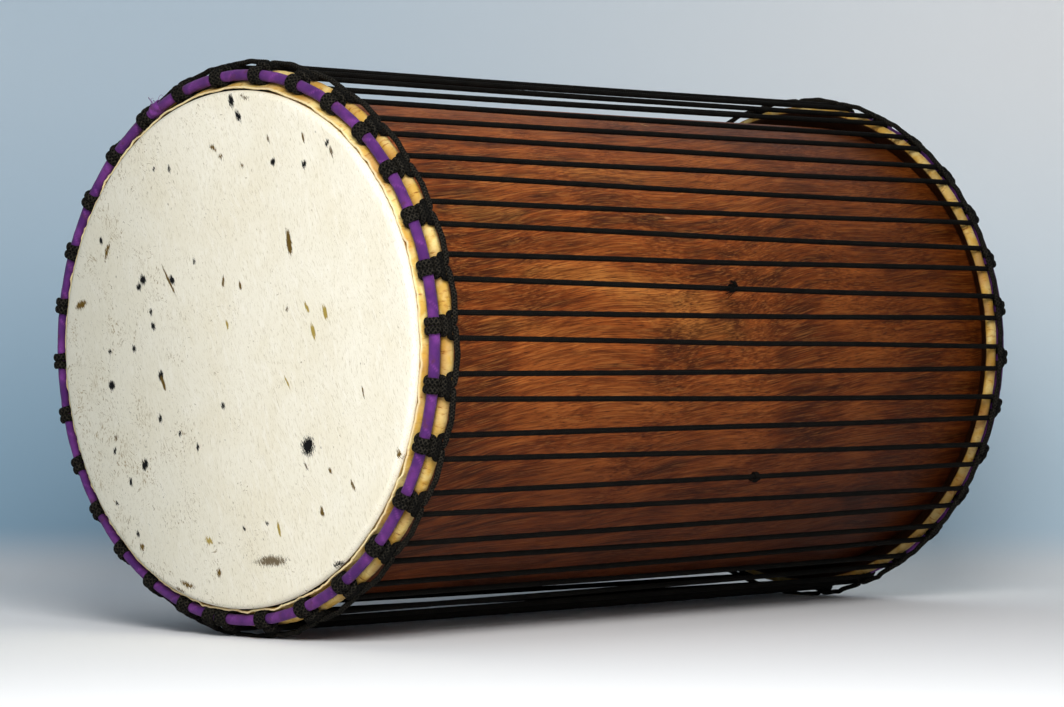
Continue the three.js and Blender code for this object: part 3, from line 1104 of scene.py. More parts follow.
@dataclass(frozen=True)
class Grain:
    """Streaks in a finish.

    Attributes:
        along: how many pass in a metre along them.
        across: how many pass in a metre across them.
        wander: how far they wander to the side, in metres.
        wander_size: how many times they wander in a metre.
    """

    along: float
    across: float
    wander: float
    wander_size: float

    def lay(self, board: NodeBoard, effects: Effects, place: Socket) -> bpy.types.Node:
        """Lays the streaks.

        Args:
            board: the material's board.
            effects: the shared effects.
            place: the place, with its first axis along the streaks.

        Returns:
            The node with the outputs Streak and Broad.
        """
        return board.group(
            effects.streaks,
            Place=place,
            Along=self.along,
            Across=self.across,
            Wander=self.wander,
            Wander_Size=self.wander_size,
        )


@dataclass(frozen=True)
class Figure:
    """A patch of the log that differs in colour.

    Attributes:
        pixel: its middle in the photograph.
        length: half its length.
        width: half its width.
        colour: its colour.
        share: how far it goes to that colour.
        lean: degrees that its long way turns from the drum's axis.
        ragged: how torn its edge is.
        grain: how fine the tears are.
        soft: how soft its edge is.
    """

    pixel: Place
    length: float
    width: float
    colour: Colour
    share: float
    lean: float = 0.0
    ragged: float = 1.3
    grain: float = 60.0
    soft: float = 0.9


@dataclass(frozen=True)
class WoodFinish:
    """Oiled reddish hardwood with a fine interlocked figure along the axis, with painted shade towards its
    far end and underneath, and a painted highlight in some light patches.
    """

    deep: Colour = tone(70, 28, 8)
    body: Colour = tone(142, 68, 24)
    light: Colour = tone(178, 96, 40)
    glow: Colour = tone(222, 146, 74)
    pore: Colour = tone(52, 20, 6)
    # Painted shade: darkens the log towards its far end.
    painted_far_shade: Colour = tone(188, 180, 160)
    # Painted shade: darkens the underside of the log.
    painted_under_shade: Colour = tone(186, 172, 160)
    under_from: float = 0.23
    under_to: float = 0.07
    far_from: float = -0.05
    far_to: float = 0.34
    spiral: float = 0.6
    fibres: Grain = Grain(24.0, 1050.0, 0.034, 5.5)
    fine: Grain = Grain(62.0, 1700.0, 0.034, 5.5)
    slow: Grain = Grain(12.0, 50.0, 0.05, 6.0)
    lines: Grain = Grain(9.0, 330.0, 0.02, 6.0)
    cloud: float = 110 * MM
    gloss: float = 0.12
    relief: float = 0.35 * MM
    figures: tuple[Figure, ...] = (
        # The first three light patches are lighter wood that also carries a painted highlight where the log
        # faces the light.
        Figure((672, 300), 60 * MM, 11 * MM, tone(220, 142, 68), 0.5, 9),
        Figure((585, 276), 58 * MM, 8 * MM, tone(214, 138, 64), 0.45, 4),
        Figure((700, 328), 42 * MM, 9 * MM, tone(212, 132, 60), 0.4, 8),
        Figure((600, 172), 75 * MM, 11 * MM, tone(206, 126, 58), 0.45, 3),
        Figure((500, 180), 50 * MM, 8 * MM, tone(202, 124, 58), 0.4, 3),
        Figure((540, 330), 46 * MM, 7 * MM, tone(204, 126, 58), 0.35, 7),
        Figure((640, 400), 60 * MM, 9 * MM, tone(196, 116, 52), 0.3, 4),
        Figure((800, 340), 70 * MM, 12 * MM, tone(60, 22, 8), 0.35, 0),
        Figure((560, 240), 60 * MM, 6 * MM, tone(66, 26, 10), 0.45, -4),
        Figure((484, 212), 40 * MM, 13 * MM, tone(112, 84, 40), 0.6, 0),
        Figure((652, 218), 22 * MM, 3.0 * MM, tone(16, 8, 5), 1.0, -1, 0.5, 240.0, 0.5),
        Figure((668, 218), 4.5 * MM, 1.2 * MM, tone(190, 128, 84), 0.8, 0, 0.8, 400.0, 0.4),
        Figure((442, 206), 7 * MM, 2.0 * MM, tone(20, 14, 12), 1.0, -6, 0.8, 300.0, 0.4),
        Figure((644, 125), 4.0 * MM, 1.2 * MM, tone(236, 190, 120), 1.0, 55, 0.4, 500.0, 0.3),
    )

    def make(self, effects: Effects) -> bpy.types.Material:
        """Builds the material.

        Args:
            effects: the shared effects.

        Returns:
            The material.
        """
        material, board, shader, place = start_material("oiled_log")
        spiral = self._spiral(board, place)
        fibres = self.fibres.lay(board, effects, spiral)
        fine = self.fine.lay(board, effects, spiral)
        slow = self.slow.lay(board, effects, spiral)
        lines = self.lines.lay(board, effects, place)
        clouds = board.group(effects.patches, Place=place, Size=self.cloud, Low=0.3, High=0.72)
        share = board.math("MULTIPLY", slow.outputs["Streak"], 0.42)
        share = board.math("ADD", share, board.math("MULTIPLY", fibres.outputs["Broad"], 0.4))
        share = board.math("ADD", share, board.math("MULTIPLY", clouds.outputs["Patch"], 0.18))
        colour = board.mix(board.remap(share, 0.34, 0.54, 0.1, 1.0), self.deep, self.body)
        colour = board.mix(board.remap(share, 0.48, 0.66, 0.0, 0.9), colour, self.light)
        for figure in self.figures:
            colour = self._lay_figure(board, effects, place, colour, fibres.outputs["Streak"], figure)
        dark = board.mix(0.6, colour, self.deep)
        colour = board.mix(board.remap(lines.outputs["Streak"], 0.47, 0.34, 0.0, 0.75), colour, dark)
        colour = board.mix(board.remap(fibres.outputs["Streak"], 0.5, 0.36, 0.0, 0.8), colour, dark)
        lifted = board.mix(0.5, colour, self.glow)
        colour = board.mix(board.remap(fibres.outputs["Streak"], 0.52, 0.66, 0.0, 0.65), colour, lifted)
        colour = board.mix(board.remap(fine.outputs["Streak"], 0.52, 0.68, 0.0, 0.4), colour, lifted)
        pore = board.remap(fine.outputs["Streak"], 0.46, 0.32, 0.0, 0.8)
        colour = board.mix(pore, colour, self.pore)
        # Painted shade: the log grows darker towards its far end.
        along = board.split(place)[0]
        darker = board.mix(1.0, colour, self.painted_far_shade, "MULTIPLY")
        colour = board.mix(board.remap(along, self.far_from, self.far_to), colour, darker)
        # Painted shade: the log grows darker underneath.
        under = board.mix(1.0, colour, self.painted_under_shade, "MULTIPLY")
        height = board.split(place)[2]
        colour = board.mix(board.remap(height, self.under_from, self.under_to), colour, under)
        board.feed(shader.inputs["Base Color"], colour)
        rough = board.remap(fibres.outputs["Streak"], 0.3, 0.7, 0.6, 0.46)
        board.feed(shader.inputs["Roughness"], rough)
        shader.inputs["Specular IOR Level"].default_value = self.gloss
        relief = board.math("SUBTRACT", fibres.outputs["Streak"], board.math("MULTIPLY", pore, 0.8))
        board.feed(shader.inputs["Normal"], board.bump(relief, self.relief, 0.35))
        return material

    def _spiral(self, board: NodeBoard, place: Socket) -> Socket:
        """The place turned about the log's axis, so that its grain runs in a slow spiral.

        Args:
            board: the material's board.
            place: the place on the object.

        Returns:
            The turned place.
        """
        node = board.add("ShaderNodeVectorRotate", rotation_type="X_AXIS")
        board.feed(node.inputs["Vector"], place)
        node.inputs["Center"].default_value = (0.0, 0.0, LAYOUT.axis_height)
        board.feed(node.inputs["Angle"], board.math("MULTIPLY", board.split(place)[0], self.spiral))
        return node.outputs["Vector"]

    @staticmethod
    def _lay_figure(
        board: NodeBoard, effects: Effects, place: Socket, colour: Socket, fibre: Socket, figure: Figure
    ) -> Socket:
        """Lays one patch where the photograph shows it, broken up by the fibres.

        Args:
            board: the material's board.
            effects: the shared effects.
            place: the place on the object.
            colour: the colour under it.
            fibre: the streaks of the fibres.
            figure: the patch.

        Returns:
            The colour with the patch.
        """
        middle = EYE.on_shell(figure.pixel)
        angle = math.atan2(middle.y, middle.z - LAYOUT.axis_height)
        round_way = Vector((0, -math.cos(angle), math.sin(angle)))
        lean = math.radians(figure.lean)
        along = Vector((math.cos(lean), 0, 0)) + round_way * math.sin(lean)
        across = round_way * math.cos(lean) - Vector((math.sin(lean), 0, 0))
        spot = board.group(
            effects.blot,
            Place=place,
            Middle=tuple(middle),
            Along=tuple(along / figure.length),
            Across=tuple(across / figure.width),
            Ragged=figure.ragged,
            Grain=figure.grain,
            Soft=figure.soft,
        )
        broken = board.remap(fibre, 0.36, 0.6, 0.45 * figure.share, figure.share)
        return board.mix(board.math("MULTIPLY", spot.outputs["Spot"], broken), colour, figure.colour)


class Mark(Enum):
    """The colours of the spots on the hide."""

    BLACK = tone(8, 8, 9)
    BROWN = tone(98, 76, 28)
    TAN = tone(166, 144, 70)
    GREY = tone(112, 98, 76)


@dataclass(frozen=True)
class Spot:
    """A spot of dark hair on the front head.

    Attributes:
        pixel: its middle in the photograph.
        length: its length in the photograph, in pixels.
        width: its width there.
        turn: degrees that it leans to the right from upright.
        mark: its colour.
        ragged: how torn its edge is.
    """

    pixel: Place
    length: float
    width: float
    turn: float = 0.0
    mark: Mark = Mark.BLACK
    ragged: float = 0.5


@dataclass(frozen=True)
class HideFinish:
    """Hair-on cowhide: cream hair with dark spots, bare and golden where it is folded, with painted shade on
    the hair and on the bare hide.
    """

    cream: Colour = tone(244, 238, 220)
    shade: Colour = tone(232, 222, 195)
    bright: Colour = tone(252, 247, 234)
    hair: Colour = tone(186, 173, 140)
    dull: Colour = tone(116, 118, 112)
    brown: Colour = tone(158, 142, 110)
    # Painted shade: the grey that the hair takes towards +Y and the bottom.
    painted_side_shade: Colour = tone(190, 190, 178)
    gold: Colour = tone(220, 176, 82)
    pale_gold: Colour = tone(247, 224, 150)
    # Amber colours the stains; amber and umber also paint shade in the wrinkles and creases.
    amber: Colour = tone(176, 108, 30)
    umber: Colour = tone(104, 58, 18)
    # A near-black painted shadow for the groove between the fold and the shell.
    groove_shadow: Colour = tone(34, 18, 8)
    rim: Colour = tone(250, 238, 200)
    hair_lean: float = 20.0
    fur: Grain = Grain(190.0, 1250.0, 0.02, 16.0)
    locks: Grain = Grain(90.0, 1500.0, 0.004, 30.0)
    flecks: Grain = Grain(210.0, 800.0, 0.03, 40.0)
    tear: float = 12 * MM
    cloud: float = 60 * MM
    dot_cell: float = 7.5 * MM
    skin_cloud: float = 12 * MM
    skin_stain: float = 24 * MM
    wrinkles_round: float = 95.0
    wrinkles_across: float = 110.0
    spot_grain: float = 700.0
    spot_soft: float = 0.18
    gloss: float = 0.12
    relief: float = 0.5 * MM
    spots: tuple[Spot, ...] = (
        Spot((231, 101), 12, 5, -12, ragged=0.9),
        Spot((238, 116), 11, 5, -25, ragged=1.2),
        Spot((273, 162), 7, 5),
        Spot((304, 164), 9, 4),
        Spot((327, 143), 6, 4, 25),
        Spot((303, 138), 11, 2, -12, Mark.BROWN),
        Spot((213, 148), 7, 4, -60, Mark.BROWN, 1.1),
        Spot((221, 157), 5, 4, -60, Mark.BROWN, 1.1),
        Spot((169, 169), 6, 3, -15),
        Spot((154, 170), 4, 3),
        Spot((289, 243), 26, 5, -8, Mark.BROWN, 0.9),
        Spot((107, 252), 17, 3, 12, Mark.BROWN, 0.8),
        Spot((101, 241), 8, 3, -5),
        Spot((143, 280), 10, 6, -8),
        Spot((139, 287), 7, 5, 0),
        Spot((169, 281), 30, 2, -25, Mark.BROWN),
        Spot((172, 280), 8, 5, -30),
        Spot((223, 282), 12, 2.5, 0, Mark.BROWN),
        Spot((240, 285), 8, 2.5, -10, Mark.BROWN),
        Spot((81, 305), 12, 7, 62, Mark.BROWN, 0.8),
        Spot((194, 262), 5, 3, -20),
        Spot((325, 312), 16, 4, -12, Mark.TAN),
        Spot((313, 331), 16, 4, -15, Mark.TAN),
        Spot((307, 308), 11, 3, -25, Mark.TAN),
        Spot((227, 324), 8, 2.5, -15, Mark.TAN),
        Spot((308, 446), 16, 14, -28, ragged=1.2),
        Spot((145, 465), 11, 6, 12),
        Spot((131, 482), 7, 3, 8),
        Spot((161, 376), 10, 5, -5),
        Spot((163, 383), 14, 3, -20, Mark.BROWN),
        Spot((115, 451), 7, 3, 10),
        Spot((180, 434), 5, 3),
        Spot((198, 447), 7, 3, -5),
        Spot((223, 406), 6, 4, -20),
        Spot((112, 386), 10, 6, 0),
        Spot((110, 352), 5, 3),
        Spot((117, 503), 4, 3),
        Spot((138, 534), 6, 3, 0),
        Spot((142, 547), 6, 5, 0, Mark.BROWN, 1.0),
        Spot((188, 585), 14, 4, -68, Mark.BROWN, 1.3),
        Spot((219, 573), 8, 4, 0, Mark.BROWN, 1.1),
        Spot((271, 561), 30, 9, 88, Mark.GREY, 1.3),
        Spot((244, 528), 5, 2.5, -25),
        Spot((267, 523), 4, 3),
        Spot((279, 529), 15, 2.5, -12, Mark.TAN),
        Spot((322, 512), 9, 4, -20, Mark.BROWN, 0.9),
        Spot((209, 541), 8, 6, -60, Mark.TAN, 1.4),
        Spot((242, 165), 5, 3, -50, Mark.BROWN, 1.1),
        Spot((268, 139), 7, 2, -15, Mark.GREY, 1.0),
        Spot((331, 151), 8, 3, -20, Mark.GREY, 1.2),
        Spot((153, 326), 7, 4, -10, ragged=1.1),
        Spot((151, 312), 5, 3, -30, ragged=1.1),
        Spot((287, 310), 5, 3, 10, Mark.GREY, 1.0),
        Spot((134, 349), 6, 4, -35, ragged=1.1),
        Spot((160, 418), 7, 4, -15, ragged=1.0),
        Spot((116, 437), 5, 3, 0, Mark.GREY, 1.0),
        Spot((306, 466), 9, 2, -25, Mark.GREY, 1.0),
        Spot((330, 470), 6, 2.5, -30, Mark.BROWN, 1.0),
        Spot((353, 486), 9, 3, -25, Mark.BROWN, 0.9),
        Spot((287, 382), 12, 2, -25, Mark.TAN, 1.0),
        Spot((363, 392), 10, 1.6, -12, Mark.BROWN, 0.9),
        Spot((337, 564), 9, 4, 60, ragged=1.2),
        Spot((398, 454), 8, 3, 5, Mark.BROWN, 1.0),
        Spot((244, 97), 9, 3, -70, Mark.GREY, 1.3),
        Spot((180, 590), 9, 3, -62, Mark.GREY, 1.3),
    )

    def make(self, effects: Effects, end: End) -> bpy.types.Material:
        """Builds the material. The piece's lay holds (bare, rim, painted shade).

        Args:
            effects: the shared effects.
            end: the drum's end.

        Returns:
            The material.
        """
        material, board, shader, place = start_material(f"{end.value}_hair_hide")
        lay = read_lay(board)
        bare, rim, painted_shade = board.split(lay)
        combed = self._comb(board, place)
        torn_place = self._tear(board, effects, place, combed)
        fur = self.fur.lay(board, effects, combed)
        clouds = board.group(effects.patches, Place=place, Size=self.cloud, Low=0.35, High=0.7)
        hair = board.mix(board.math("MULTIPLY", clouds.outputs["Patch"], 0.45), self.cream, self.shade)
        hair = board.mix(board.remap(fur.outputs["Broad"], 0.5, 0.72, 0.0, 0.45), hair, self.bright)
        hair = board.mix(board.remap(fur.outputs["Streak"], 0.47, 0.3, 0.0, 0.55), hair, self.hair)
        hair = self._strew(board, effects, place, combed, hair)
        if end is End.FRONT:
            for spot in self.spots:
                hair = self._spot(board, effects, torn_place, hair, spot)
        wrinkles = self._wrinkles(board, place)
        skin = self._skin(board, effects, place, wrinkles, rim, painted_shade)
        edge = board.noise(place, 260.0, 2.0)
        torn = board.math("MULTIPLY", board.math("SUBTRACT", edge.outputs["Fac"], 0.5), 0.5)
        bald = board.remap(board.math("ADD", bare, torn), 0.35, 0.65)
        board.feed(shader.inputs["Base Color"], board.mix(bald, hair, skin))
        board.feed(shader.inputs["Roughness"], board.remap(bald, 0.0, 1.0, 0.72, 0.42))
        shader.inputs["Specular IOR Level"].default_value = self.gloss
        grain = board.noise(place, 900.0, 3.0, 0.6)
        furry = board.math("MULTIPLY", fur.outputs["Streak"], board.math("SUBTRACT", 1.0, bald))
        folds = board.math("ADD", board.math("MULTIPLY", wrinkles, 2.5), grain.outputs["Fac"])
        leathery = board.math("MULTIPLY", folds, bald)
        relief = board.bump(board.math("ADD", furry, leathery), self.relief, 0.45)
        board.feed(shader.inputs["Normal"], relief)
        return material

    def _comb(self, board: NodeBoard, place: Socket) -> Socket:
        """The place turned so that its first axis follows the hair.

        Args:
            board: the material's board.
            place: the place on the object.

        Returns:
            The turned place.
        """
        x, y, z = board.split(place)
        lean = math.radians(self.hair_lean)
        upright, aslant = math.cos(lean), math.sin(lean)
        parts = (board.math("MULTIPLY", z, upright), board.math("MULTIPLY", y, aslant))
        along = board.math("ADD", *parts)
        parts = (board.math("MULTIPLY", y, upright), board.math("MULTIPLY", z, aslant))
        across = board.math("SUBTRACT", *parts)
        return board.combine(along, across, x)

    def _tear(self, board: NodeBoard, effects: Effects, place: Socket, combed: Socket) -> Socket:
        """The place shifted along the hair, lock by lock, so that every spot ends in hairs.

        Args:
            board: the material's board.
            effects: the shared effects.
            place: the place on the object.
            combed: the place, turned along the hair.

        Returns:
            The shifted place.
        """
        locks = self.locks.lay(board, effects, combed)
        lean = math.radians(self.hair_lean)
        shift = board.math("MULTIPLY", board.math("SUBTRACT", locks.outputs["Streak"], 0.5), self.tear)
        aside, up = (board.math("MULTIPLY", shift, share) for share in (math.sin(lean), math.cos(lean)))
        return board.vector("ADD", place, board.combine(0.0, aside, up))

    def _strew(
        self, board: NodeBoard, effects: Effects, place: Socket, combed: Socket, hair: Socket
    ) -> Socket:
        """Paints shade that greys the hair towards +Y and the bottom, and strews short grey and brown hairs
        in flocks, thicker on one side.

        Args:
            board: the material's board.
            effects: the shared effects.
            place: the place on the object.
            combed: the place, turned along the hair.
            hair: the hair's colour.

        Returns:
            The hair's colour with the painted shade and the hairs.
        """
        _, side, up = board.split(place)
        # Painted shade: the hair greys towards +Y and towards the bottom.
        slanted = board.math("SUBTRACT", side, board.math("MULTIPLY", up, 0.25))
        painted_dim = board.remap(slanted, -0.1, 0.16, 0.0, 0.6)
        hair = board.mix(painted_dim, hair, self.painted_side_shade)
        parts = (board.remap(side, -0.1, 0.17, 0.0, 0.105), board.remap(up, 0.3, 0.06, 0.0, 0.03))
        thick = board.math("ADD", *parts)
        flocks = board.noise(place, 30.0, 5.0, 0.72)
        fleck = self.flecks.lay(board, effects, combed)
        loose = board.math("ADD", thick, board.remap(flocks.outputs["Fac"], 0.4, 0.66, -0.03, 0.1))
        low = board.math("SUBTRACT", 0.73, loose)
        high = board.math("ADD", low, 0.07)
        share = board.remap(fleck.outputs["Streak"], low, high, 0.0, 0.8)
        tinted = board.mix(board.remap(flocks.outputs["Fac"], 0.4, 0.6), self.dull, self.brown)
        hair = board.mix(share, hair, tinted)
        stretched = board.vector("MULTIPLY", combed, (0.5, 1.0, 1.0))
        dots = board.group(effects.specks, Place=stretched, Cell=self.dot_cell, Share=0.16, Size=0.1)
        flocked = board.remap(flocks.outputs["Fac"], 0.45, 0.6)
        dotted = board.math("MULTIPLY", dots.outputs["Speck"], flocked)
        return board.mix(board.math("MULTIPLY", dotted, 0.75), hair, Mark.GREY.value)

    def _spot(
        self, board: NodeBoard, effects: Effects, place: Socket, hair: Socket, spot: Spot
    ) -> Socket:
        """Lays one spot on the hair.

        Args:
            board: the material's board.
            effects: the shared effects.
            place: the place on the object.
            hair: the hair's colour.
            spot: the spot.

        Returns:
            The hair's colour with the spot.
        """
        middle = EYE.on_face(spot.pixel)
        lean = math.radians(spot.turn)
        tip = (math.sin(lean), -math.cos(lean))
        side = (math.cos(lean), math.sin(lean))
        half = [spot.length / 2, spot.width / 2]
        ways = []
        for (right, down), reach in zip((tip, side), half):
            pixel = (spot.pixel[0] + right * reach, spot.pixel[1] + down * reach)
            ways.append(EYE.on_face(pixel) - middle)
        along, across = ways
        flat_across = across - along * (across.dot(along) / along.length_squared)
        made = board.group(
            effects.blot,
            Place=place,
            Middle=tuple(middle),
            Along=tuple(along / along.length_squared),
            Across=tuple(flat_across / flat_across.length_squared),
            Ragged=spot.ragged,
            Grain=self.spot_grain,
            Soft=self.spot_soft,
        )
        return board.mix(made.outputs["Spot"], hair, spot.mark.value)

    def _wrinkles(self, board: NodeBoard, place: Socket) -> Socket:
        """Fine wrinkles that cross the fold and the trimmed edge.

        Args:
            board: the material's board.
            place: the place on the object.

        Returns:
            The wrinkles, 0 to 1.
        """
        x, y, z = board.split(place)
        angle = board.math("ARCTAN2", y, board.math("SUBTRACT", z, LAYOUT.axis_height))
        around = board.math("MULTIPLY", angle, self.wrinkles_round)
        off_axis = board.combine(0.0, y, board.math("SUBTRACT", z, LAYOUT.axis_height))
        away = board.vector("LENGTH", off_axis)
        parts = (board.math("MULTIPLY", part, self.wrinkles_across) for part in (x, away))
        return board.noise(board.combine(around, *parts), 1.0, 4.0, 0.62).outputs["Fac"]

    def _skin(
        self,
        board: NodeBoard,
        effects: Effects,
        place: Socket,
        wrinkles: Socket,
        rim: Socket,
        painted_shade: Socket,
    ) -> Socket:
        """The bare hide of the fold and the trimmed edge, with painted shade in its wrinkles and where the
        lay holds it.

        Args:
            board: the material's board.
            effects: the shared effects.
            place: the place on the object.
            wrinkles: the wrinkles.
            rim: how near the trimmed edge.
            painted_shade: how much painted shade the bare hide gets.

        Returns:
            The bare hide's colour.
        """
        clouds = board.group(effects.patches, Place=place, Size=self.skin_cloud, Low=0.36, High=0.66)
        stains = board.group(effects.patches, Place=place, Size=self.skin_stain, Low=0.46, High=0.68)
        colour = board.mix(clouds.outputs["Patch"], self.gold, self.pale_gold)
        colour = board.mix(board.math("MULTIPLY", stains.outputs["Patch"], 0.65), colour, self.amber)
        # Painted shade in the wrinkles' hollows.
        colour = board.mix(board.remap(wrinkles, 0.46, 0.33, 0.0, 0.6), colour, self.amber)
        colour = board.mix(board.remap(wrinkles, 0.36, 0.28, 0.0, 0.8), colour, self.umber)
        # Painted shade from the lay, in umber.
        colour = board.mix(board.math("MULTIPLY", painted_shade, 0.75), colour, self.umber)
        # Where the lay's shade is deepest, in the groove beside the shell, a near-black painted shadow.
        colour = board.mix(board.remap(painted_shade, 0.75, 1.2), colour, self.groove_shadow)
        return board.mix(board.math("MULTIPLY", rim, 0.55), colour, self.rim)


@dataclass(frozen=True)
class ClothFinish:
    """Matte purple cotton, a little pink where it is rubbed, with painted shade in the gaps of its weave."""

    dye: Colour = tone(74, 28, 98)
    rubbed: Colour = tone(138, 68, 154)
    # Painted shade for the gaps of the weave.
    deep: Colour = tone(54, 24, 78)
    stain: Colour = tone(88, 42, 72)
    thread: float = 0.75 * MM
    cloud: float = 20 * MM
    blot: float = 8 * MM
    sheen: float = 0.06
    sheen_roughness: float = 0.5
    gloss: float = 0.25
    relief: float = 0.2 * MM

    def make(self, effects: Effects) -> bpy.types.Material:
        """Builds the material. The piece's lay holds (length, distance round, rubbed).

        Args:
            effects: the shared effects.

        Returns:
            The material.
        """
        material, board, shader, place = start_material("purple_cotton")
        lay = read_lay(board)
        weave = board.group(effects.weave, Lay=lay, Thread=self.thread)
        clouds = board.group(effects.patches, Place=place, Size=self.cloud, Low=0.35, High=0.7)
        stains = board.group(effects.patches, Place=place, Size=self.blot, Low=0.54, High=0.72)
        worn = board.math("MULTIPLY", board.split(lay)[2], 0.6)
        colour = board.mix(board.math("MULTIPLY", clouds.outputs["Patch"], 0.5), self.dye, self.rubbed)
        colour = board.mix(worn, colour, self.rubbed)
        colour = board.mix(board.math("MULTIPLY", stains.outputs["Patch"], 0.75), colour, self.stain)
        # Painted shade in the gaps between the threads.
        colour = board.mix(board.math("MULTIPLY", weave.outputs["Gap"], 0.35), colour, self.deep)
        board.feed(shader.inputs["Base Color"], colour)
        board.feed(shader.inputs["Roughness"], board.remap(clouds.outputs["Patch"], 0.0, 1.0, 0.85, 0.95))
        shader.inputs["Sheen Weight"].default_value = self.sheen
        shader.inputs["Sheen Roughness"].default_value = self.sheen_roughness
        shader.inputs["Specular IOR Level"].default_value = self.gloss
        board.feed(shader.inputs["Normal"], board.bump(weave.outputs["Height"], self.relief, 0.5))
        return material


@dataclass(frozen=True)
class RopeFinish:
    """Soft black braided rope with a little grey fuzz, dust and a painted highlight on the braid's crests,
    and painted shade in its furrows.
    """

    name: str = "black_braid"
    black: Colour = tone(7, 7, 7)
    fuzz: Colour = tone(24, 22, 19)
    # Dust and a painted highlight on the braid's crests.
    dust_and_highlight: Colour = tone(92, 86, 74)
    # Painted shade for the braid's furrows.
    painted_furrow_shade: Colour = tone(1, 1, 1)
    pitch: float = 5.4 * MM
    carriers: float = 2.0
    # How far the braid's crests go to the dust and painted highlight colour.
    worn: float = 0.1
    cloud: float = 16 * MM
    gloss: float = 0.05
    relief: float = 0.6 * MM

    def make(self, effects: Effects) -> bpy.types.Material:
        """Builds the material. The piece's lay holds (length, cosine, sine).

        Args:
            effects: the shared effects.

        Returns:
            The material.
        """
        material, board, shader, place = start_material(self.name)
        plait = board.group(effects.plait, Lay=read_lay(board), Pitch=self.pitch, Carriers=self.carriers)
        clouds = board.group(effects.patches, Place=place, Size=self.cloud, Low=0.35, High=0.7)
        lint = board.noise(place, 1100.0, 3.0, 0.7)
        colour = board.mix(board.math("MULTIPLY", clouds.outputs["Patch"], 0.4), self.black, self.fuzz)
        # Dust and a painted highlight on the braid's crests.
        crest = board.math("MULTIPLY", board.remap(plait.outputs["Height"], 0.8, 1.0), self.worn)
        crest_dust_and_highlight = board.math("MULTIPLY", crest, board.remap(lint.outputs["Fac"], 0.4, 0.6))
        colour = board.mix(crest_dust_and_highlight, colour, self.dust_and_highlight)
        # Painted shade in the braid's furrows.
        colour = board.mix(board.math("MULTIPLY", plait.outputs["Furrow"], 0.9), colour, self.painted_furrow_shade)
        board.feed(shader.inputs["Base Color"], colour)
        board.feed(shader.inputs["Roughness"], board.remap(lint.outputs["Fac"], 0.3, 0.7, 0.85, 0.97))
        shader.inputs["Specular IOR Level"].default_value = self.gloss
        height = board.math("ADD", plait.outputs["Height"], board.math("MULTIPLY", lint.outputs["Fac"], 0.5))
        board.feed(shader.inputs["Normal"], board.bump(height, self.relief, 0.8))
        return material


@dataclass(frozen=True)
class SteelFinish:
    """Plain steel rod, a little rusty."""

    steel: Colour = tone(140, 142, 146)
    rust: Colour = tone(110, 62, 36)
    cloud: float = 15 * MM
    relief: float = 0.05 * MM

    def make(self, effects: Effects) -> bpy.types.Material:
        """Builds the material.

        Args:
            effects: the shared effects.

        Returns:
            The material.
        """
        material, board, shader, place = start_material("drawn_steel")
        rust = board.group(effects.patches, Place=place, Size=self.cloud, Low=0.5, High=0.7)
        scratches = board.noise(place, 1800.0, 2.0)
        board.feed(shader.inputs["Base Color"], board.mix(rust.outputs["Patch"], self.steel, self.rust))
        board.feed(shader.inputs["Metallic"], board.remap(rust.outputs["Patch"], 0.0, 1.0, 1.0, 0.2))
        board.feed(shader.inputs["Roughness"], board.remap(rust.outputs["Patch"], 0.0, 1.0, 0.35, 0.85))
        board.feed(shader.inputs["Normal"], board.bump(scratches.outputs["Fac"], self.relief, 0.3))
        return material


@dataclass(frozen=True)
class BackdropFinish:
    """The plain pale cloth that the drum lies on and stands before, with painted light and shade on its
    wall: lighter towards the top right, darker towards the bottom left.
    """

    floor: Colour = tone(240, 241, 243)
    # The wall's four colours hold painted light and shade: lighter towards the top right, darker towards the
    # bottom left.
    low_left: Colour = tone(162, 194, 216)
    low_right: Colour = tone(210, 231, 246)
    high_left: Colour = tone(206, 224, 238)
    high_right: Colour = tone(250, 251, 253)
    rise_low: float = 0.002
    rise_high: float = 0.05
    left: float = -0.5
    right: float = 0.75
    low: float = 0.05
    high: float = 0.55
    roughness: float = 0.95
    gloss: float = 0.1
    relief: float = 0.3 * MM

    def make(self) -> bpy.types.Material:
        """Builds the material.

        Returns:
            The material.
        """
        material, board, shader, place = start_material("pale_backdrop")
        height = board.split(place)[2]
        across = board.vector("DOT_PRODUCT", place, (math.cos(EYE.yaw), -math.sin(EYE.yaw), 0.0))
        to_right = board.remap(across, self.left, self.right)
        # Painted light and shade: the wall lightens towards the right and the top.
        low = board.mix(to_right, self.low_left, self.low_right)
        high = board.mix(to_right, self.high_left, self.high_right)
        wall = board.mix(board.remap(height, self.low, self.high), low, high)
        share = board.remap(height, self.rise_low, self.rise_high)
        board.feed(shader.inputs["Base Color"], board.mix(share, self.floor, wall))
        shader.inputs["Roughness"].default_value = self.roughness
        shader.inputs["Specular IOR Level"].default_value = self.gloss
        fibre = board.noise(place, 900.0, 2.0)
        board.feed(shader.inputs["Normal"], board.bump(fibre.outputs["Fac"], self.relief, 0.15))
        self._clear_from_behind(material, shader)
        return material

    @staticmethod
    def _clear_from_behind(material: bpy.types.Material, shader: bpy.types.Node) -> None:
        """Lets a camera behind the backdrop look through it.

        Args:
            material: the backdrop's material.
            shader: its shader.
        """
        tree = material.node_tree
        output = next(node for node in tree.nodes if node.bl_idname == "ShaderNodeOutputMaterial")
        geometry = tree.nodes.new("ShaderNodeNewGeometry")
        clear = tree.nodes.new("ShaderNodeBsdfTransparent")
        either = tree.nodes.new("ShaderNodeMixShader")
        tree.links.new(geometry.outputs["Backfacing"], either.inputs["Fac"])
        tree.links.new(shader.outputs["BSDF"], either.inputs[1])
        tree.links.new(clear.outputs["BSDF"], either.inputs[2])
        tree.links.new(either.outputs["Shader"], output.inputs["Surface"])


